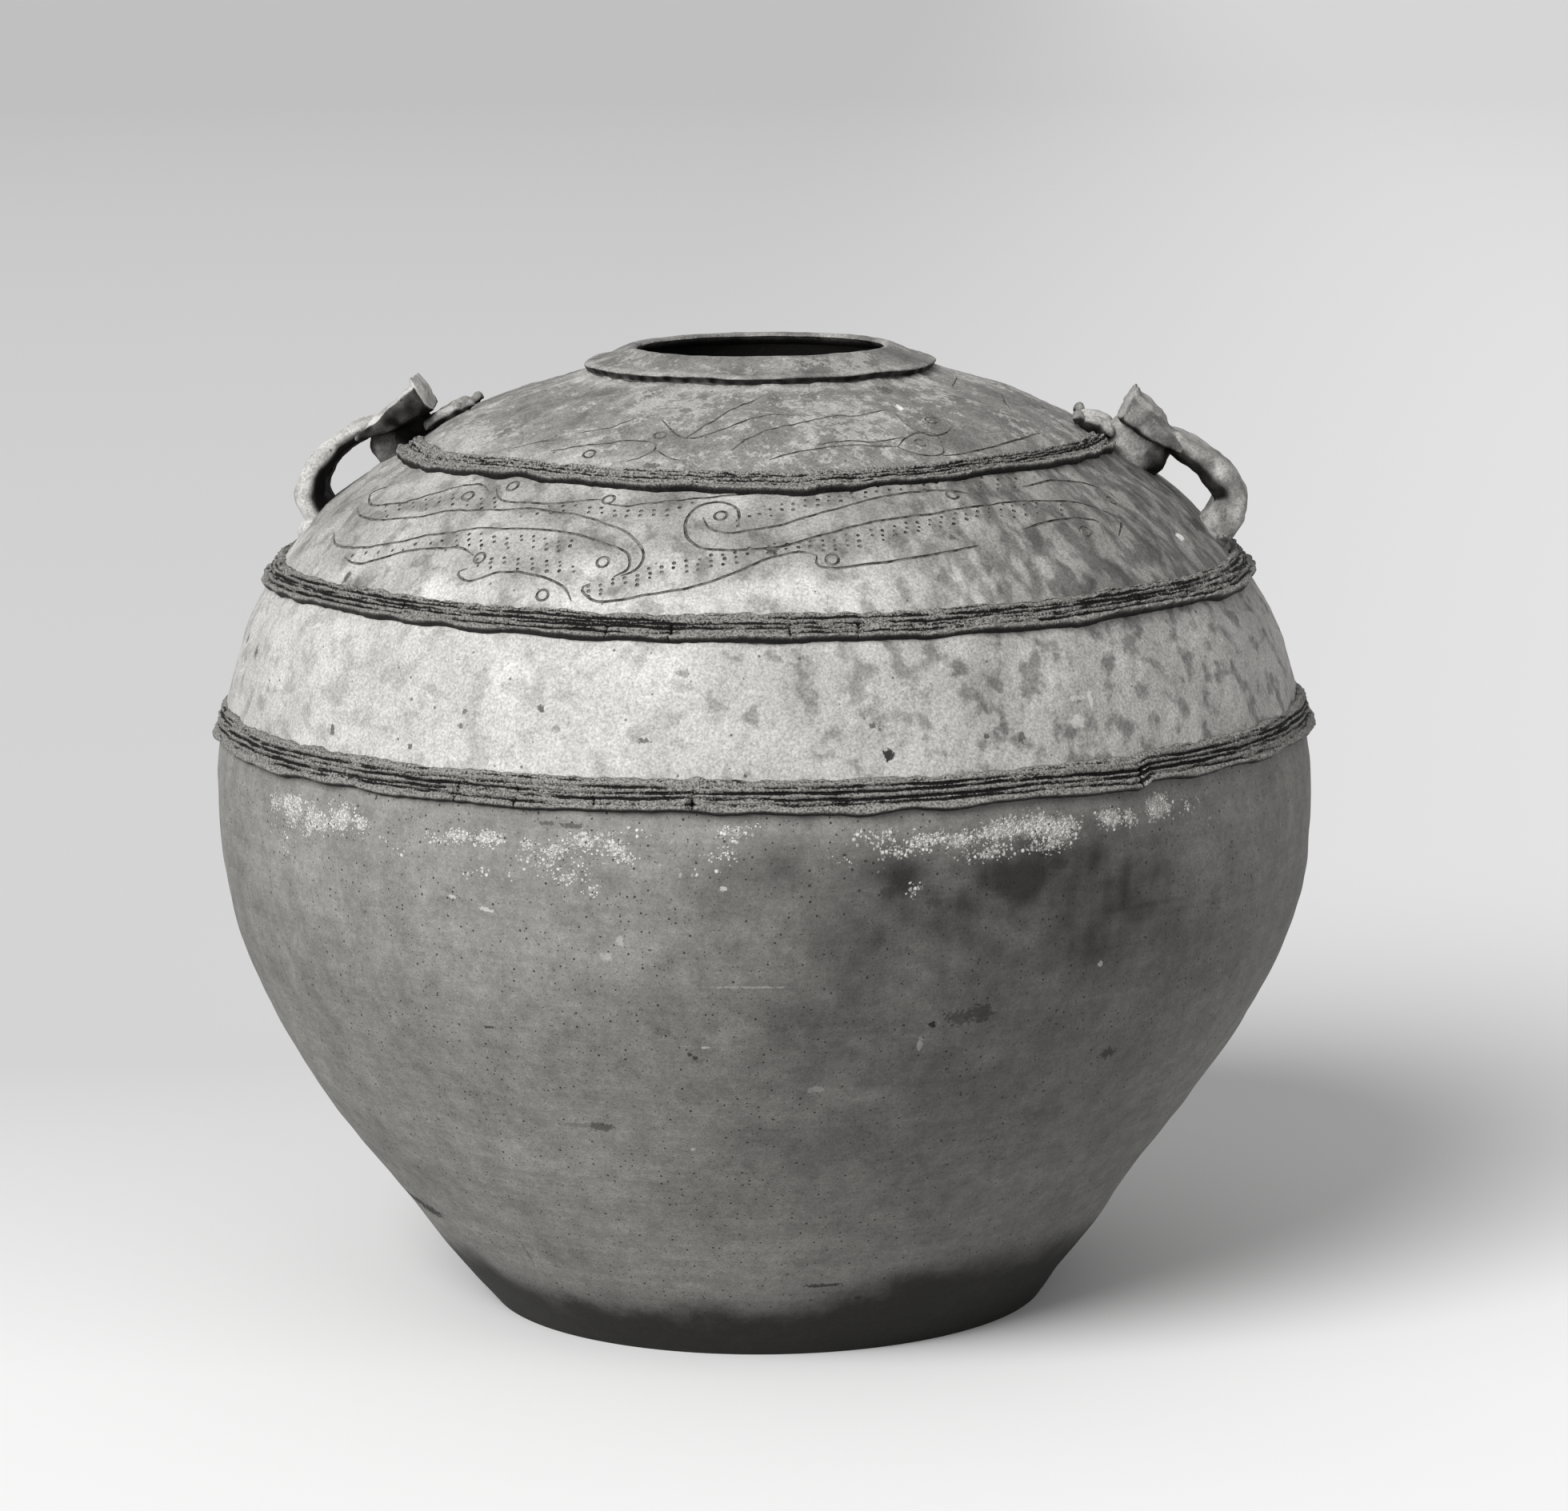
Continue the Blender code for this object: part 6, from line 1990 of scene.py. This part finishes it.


# How each handle looks: first the tone of its strap, plate, root, pad and horns; then the painted shade and
# dark clay on its cut sides and undersides, and where that starts and ends; then its lines, and the form of
# its root and the painted shade on it
LEFT_LOOK = {
    "strap": 0.66, "plate": 0.72, "root": 0.20, "pad": 0.80, "horn": 0.30,
    "side": 0.94, "side_end": 0.88, "under": 1.0, "under_start": (-0.02, 0.02), "horn_under": -0.10,
    "line": LEFT_PLATE_SHARES, "strap_line": LEFT_STRAP_SHARES, "strap_thickness": 0.0080,
    "crest": 0.0036, "setback": 0.0030, "root_shade": ((0.68, 0.40), (0.78, 0.96)),
    "root_narrow": 0.80, "root_reach": 0.0, "root_top": 0.76,
}
RIGHT_LOOK = {
    "strap": 0.28, "plate": 0.30, "root": 0.34, "pad": 0.40, "horn": 0.44,
    "side": 0.30, "side_end": 0.94, "under": 0.96, "under_start": (0.18, 0.34), "horn_under": -0.40,
    "line": RIGHT_PLATE_SHARES, "strap_line": RIGHT_STRAP_SHARES, "strap_thickness": 0.0100,
    "crest": 0.0022, "setback": -0.0028, "root_shade": ((0.66, 0.90), (0.82, 0.06)),
    "root_narrow": 0.10, "root_reach": 0.09, "root_top": 1.0,
}


# Half thickness of the horns along their length
LEFT_HORN_SIZES = (
    (0.0, 0.002), (0.25, 0.0023), (0.5, 0.0022), (0.7, 0.0022), (0.79, 0.0013), (0.89, 0.0021),
    (1.0, 0.0017),
)
RIGHT_HORN_SIZES = (
    (0.0, 0.003), (0.18, 0.0036), (0.42, 0.0033), (0.62, 0.0025), (0.76, 0.0016), (0.9, 0.0024),
    (1.0, 0.002),
)


HORN_STEPS = 48
HORN_SIDES = 32
HORN_ROUNDINGS = (0.09, 0.07)
HORN_LEAST = 0.03
# A horn's line lies above the wall by a share of its half thickness and a little more
HORN_RISE = (0.62, 0.0008)
# Painted shadow under a horn and in the neck before its knob
HORN_UNDER_FADE = 0.5
HORN_UNDER_SHADOW = 0.94
HORN_NECK = (0.78, 0.03)
HORN_NECK_SHADOW = 0.7
HORN_KNOB = (0.84, 0.90)
HORN_KNOB_LESS = 0.4


def build_horn(label, name, back, handle, look, sizes, glaze, seed):
    """One horn scroll: a lumpy roll of clay on the crown, with a knob at its end."""
    shares = np.linspace(0.0, 1.0, HORN_STEPS)
    start_rounding, end_rounding = HORN_ROUNDINGS
    radius = np.interp(shares, *np.transpose(sizes))
    closing = np.minimum(shares / start_rounding, (1.0 - shares) / end_rounding)
    radius = radius * np.sqrt(np.clip(closing, HORN_LEAST, 1.0))
    places = handle.head_place - look["setback"] + (HORN_LENGTH + look["setback"]) * shares
    radius_share, more = HORN_RISE
    reach, height = on_wall(places, -(radius_share * radius + more))
    sideways = back * (HORN_SPACING / 2 + HORN_CURL * shares ** 2)
    line = np.column_stack([handle.side * reach, sideways, height])
    headings = np.gradient(line, axis=0)
    headings /= np.linalg.norm(headings, axis=1)[:, None]
    side = np.cross(headings, (0.0, 0.0, 1.0))
    side /= np.linalg.norm(side, axis=1)[:, None]
    top = np.cross(side, headings)
    ways = np.linspace(0.0, 2 * math.pi, HORN_SIDES, endpoint=False)[None, :, None]
    round_line = np.cos(ways) * side[:, None, :] + np.sin(ways) * top[:, None, :]
    rings = line[:, None, :] + radius[:, None, None] * round_line
    ones = np.ones((HORN_STEPS, HORN_SIDES))
    values = {"share": shares[:, None] * ones, "through": np.sin(ways[:, :, 0]) * ones}
    horn = sleeve(label + "_scroll_" + name, rings, values)
    share, through = marked(horn, "share"), marked(horn, "through")
    # Painted shadow under the horn and in its neck
    low_side = rising(-through, look["horn_under"], look["horn_under"] + HORN_UNDER_FADE)
    under = np.maximum(HORN_UNDER_SHADOW * low_side, HORN_NECK_SHADOW * bump(share, *HORN_NECK))
    tone = look["horn"] * (1.0 - HORN_KNOB_LESS * rising(share, *HORN_KNOB))
    finish_handle_piece(horn, "horn_" + name, label, glaze, seed + back, HORN_LUMPS, tone, under)


# Where a strap's underside is painted dark, as shade and dark clay: how far it turns up along the strap,
# from where to where, and its fade
STRAP_UNDER_TURN = 0.24
STRAP_UNDER_ALONG = (0.50, 0.95)
STRAP_UNDER_FADE = (-0.10, 0.40)


def build_strap(label, handle, look, glaze, seed):
    """The strap, with its underside painted dark: shade, and dark clay."""
    strap = slab(label + "_strap", handle, look["strap_line"], STRAP_BREADTH_SHARES, STRAP_WIDTH,
                 look["strap_thickness"], STRAP_FORM, strap_relief)
    share, through = marked(strap, "share"), marked(strap, "through")
    # Painted shade on the underside
    turned_up = STRAP_UNDER_TURN * rising(share, *STRAP_UNDER_ALONG)
    under = look["under"] * rising(turned_up - through, *STRAP_UNDER_FADE)
    under *= rising(share, *look["under_start"])
    finish_handle_piece(strap, "handle_strap", label, glaze, seed, STRAP_LUMPS, look["strap"], under)


# Where a mask plate's cut sides are painted dark as shade: from the side's edge, along the plate, and up to
# a share of its thickness, which is higher at the front; and where its underside is painted dark as shade
PLATE_SIDE_FROM = (0.80, 0.93)
PLATE_SIDE_START = (-0.10, 0.08)
PLATE_SIDE_FADE = 0.05
PLATE_SIDE_TOPS = (0.93, 0.70)
PLATE_SIDE_TOP_FADE = 0.12
PLATE_UNDER_FROM = (0.35, 0.75)
PLATE_UNDER_END = 0.97
PLATE_UNDER_FADE = 0.10


def build_mask_plate(label, handle, look, glaze, seed):
    """The mask plate, with painted shade on its cut sides and underside."""
    plate = slab(label + "_mask", handle, look["line"], PLATE_BREADTH_SHARES, PLATE_WIDTH, PLATE_THICKNESS,
                 PLATE_FORM, lambda share, across: mask_relief(share, across, look["crest"]), PLATE_SLANT)
    share, across, through = (marked(plate, name) for name in ("share", "across", "through"))
    # Painted shade on the cut sides, and below that on the underside
    side_shade = look["side"] * rising(np.abs(across), *PLATE_SIDE_FROM)
    side_shade *= rising(look["side_end"] - share, 0.0, PLATE_SIDE_FADE) * rising(share, *PLATE_SIDE_START)
    side_shade *= rising(np.where(across < 0, *PLATE_SIDE_TOPS) - through, 0.0, PLATE_SIDE_TOP_FADE)
    under = look["under"] * rising(-through, *PLATE_UNDER_FROM)
    under *= rising(PLATE_UNDER_END - share, 0.0, PLATE_UNDER_FADE)
    finish_handle_piece(plate, "mask_plate", label, glaze, seed, PLATE_LUMPS, look["plate"],
                        np.maximum(side_shade, under))


def build_root_block(label, handle, look, glaze, seed):
    """The wad of clay between the mask plate and the shoulder."""
    outline = np.array([handle.spot(chord + look["root_reach"] * (chord > BLOCK_HEAD),
                                    rise * (look["root_top"] if rise > BLOCK_TOP else 1.0))
                        for chord, rise in BLOCK_OUTLINE_SHARES])
    closed = np.vstack([outline, outline[:1]])
    outline = resampled(smooth_line(closed, BLOCK_CURVE_STEPS), BLOCK_STEPS + 1)[:-1]
    middle = outline.mean(axis=0)
    rings = []
    for share in np.linspace(-1.0, 1.0, BLOCK_RINGS):
        bulge = math.sqrt(max(0.0, 1.0 - abs(share) ** BLOCK_BULGE))
        spots = middle + (BLOCK_END_SHARE + (1 - BLOCK_END_SHARE) * bulge) * (outline - middle)
        narrow = 1.0 - look["root_narrow"] * rising(handle.chord_share(spots), *BLOCK_NARROWING)
        sideways = share * BLOCK_WIDTH / 2 * narrow
        rings.append([handle.point(spot, out) for spot, out in zip(spots, sideways)])
    block = sleeve(label + "_root", rings)
    points = points_of(block)
    along = handle.chord_share(points[:, ::2] * (handle.side, 1))
    # Painted shade on the block, darkest where the plate shadows it
    finish_handle_piece(block, "root_block", label, glaze, seed, BLOCK_LUMPS, look["root"],
                        np.interp(along, *np.transpose(look["root_shade"])))


def build_pad(label, handle, look, glaze, seed):
    """The pad of clay under the strap's foot."""
    ways = np.linspace(0.0, 2 * math.pi, PAD_STEPS, endpoint=False)
    rings = []
    for rise in np.linspace(0.0, 1.0, PAD_RINGS):
        spread = math.sqrt(max(PAD_LEAST, 1.0 - rise ** PAD_BULGE))
        places = handle.foot_place - PAD_SHIFT + PAD_SHRINK * spread * PAD_LENGTH / 2 * np.cos(ways)
        sideways = spread * PAD_WIDTH / 2 * np.sin(ways)
        reach, height = on_wall(places, -PAD_THICKNESS * rise + PAD_SINK)
        turn = np.arcsin(np.clip(sideways / reach, -1, 1))
        rings.append(np.column_stack([handle.side * reach * np.cos(turn), sideways, height]))
    pad = sleeve(label + "_pad", rings)
    finish_handle_piece(pad, "handle_pad", label, glaze, seed, PAD_LUMPS, look["pad"])


def build_handle(label, handle, look, sizes, glaze, seed):
    """One handle: strap, mask plate, root block, foot pad and two horn scrolls."""
    build_strap(label, handle, look, glaze, seed)
    build_mask_plate(label, handle, look, glaze, seed + 10)
    build_root_block(label, handle, look, glaze, seed + 20)
    build_pad(label, handle, look, glaze, seed + 30)
    for name, back in (("front", -1), ("back", 1)):
        build_horn(label, name, back, handle, look, sizes, glaze, seed + 40)


def main():
    """Build the looks."""
    build_stage()
    glaze = ash_glaze()
    clay = bare_stoneware()
    combed = cordon_clay()
    dark = pooled_line()
    build_lower_body(clay)
    build_base(clay)
    build_belly(glaze)
    build_shoulder_and_crown(glaze, dark)
    build_collar(glaze)
    build_cordons(combed)
    left = Handle(-1, LEFT_FOOT_RISE, LEFT_HANDLE_SPAN)
    right = Handle(1, RIGHT_FOOT_RISE, RIGHT_HANDLE_SPAN)
    build_handle("left", left, LEFT_LOOK, LEFT_HORN_SIZES, glaze, 100)
    build_handle("right", right, RIGHT_LOOK, RIGHT_HORN_SIZES, glaze, 200)


main()
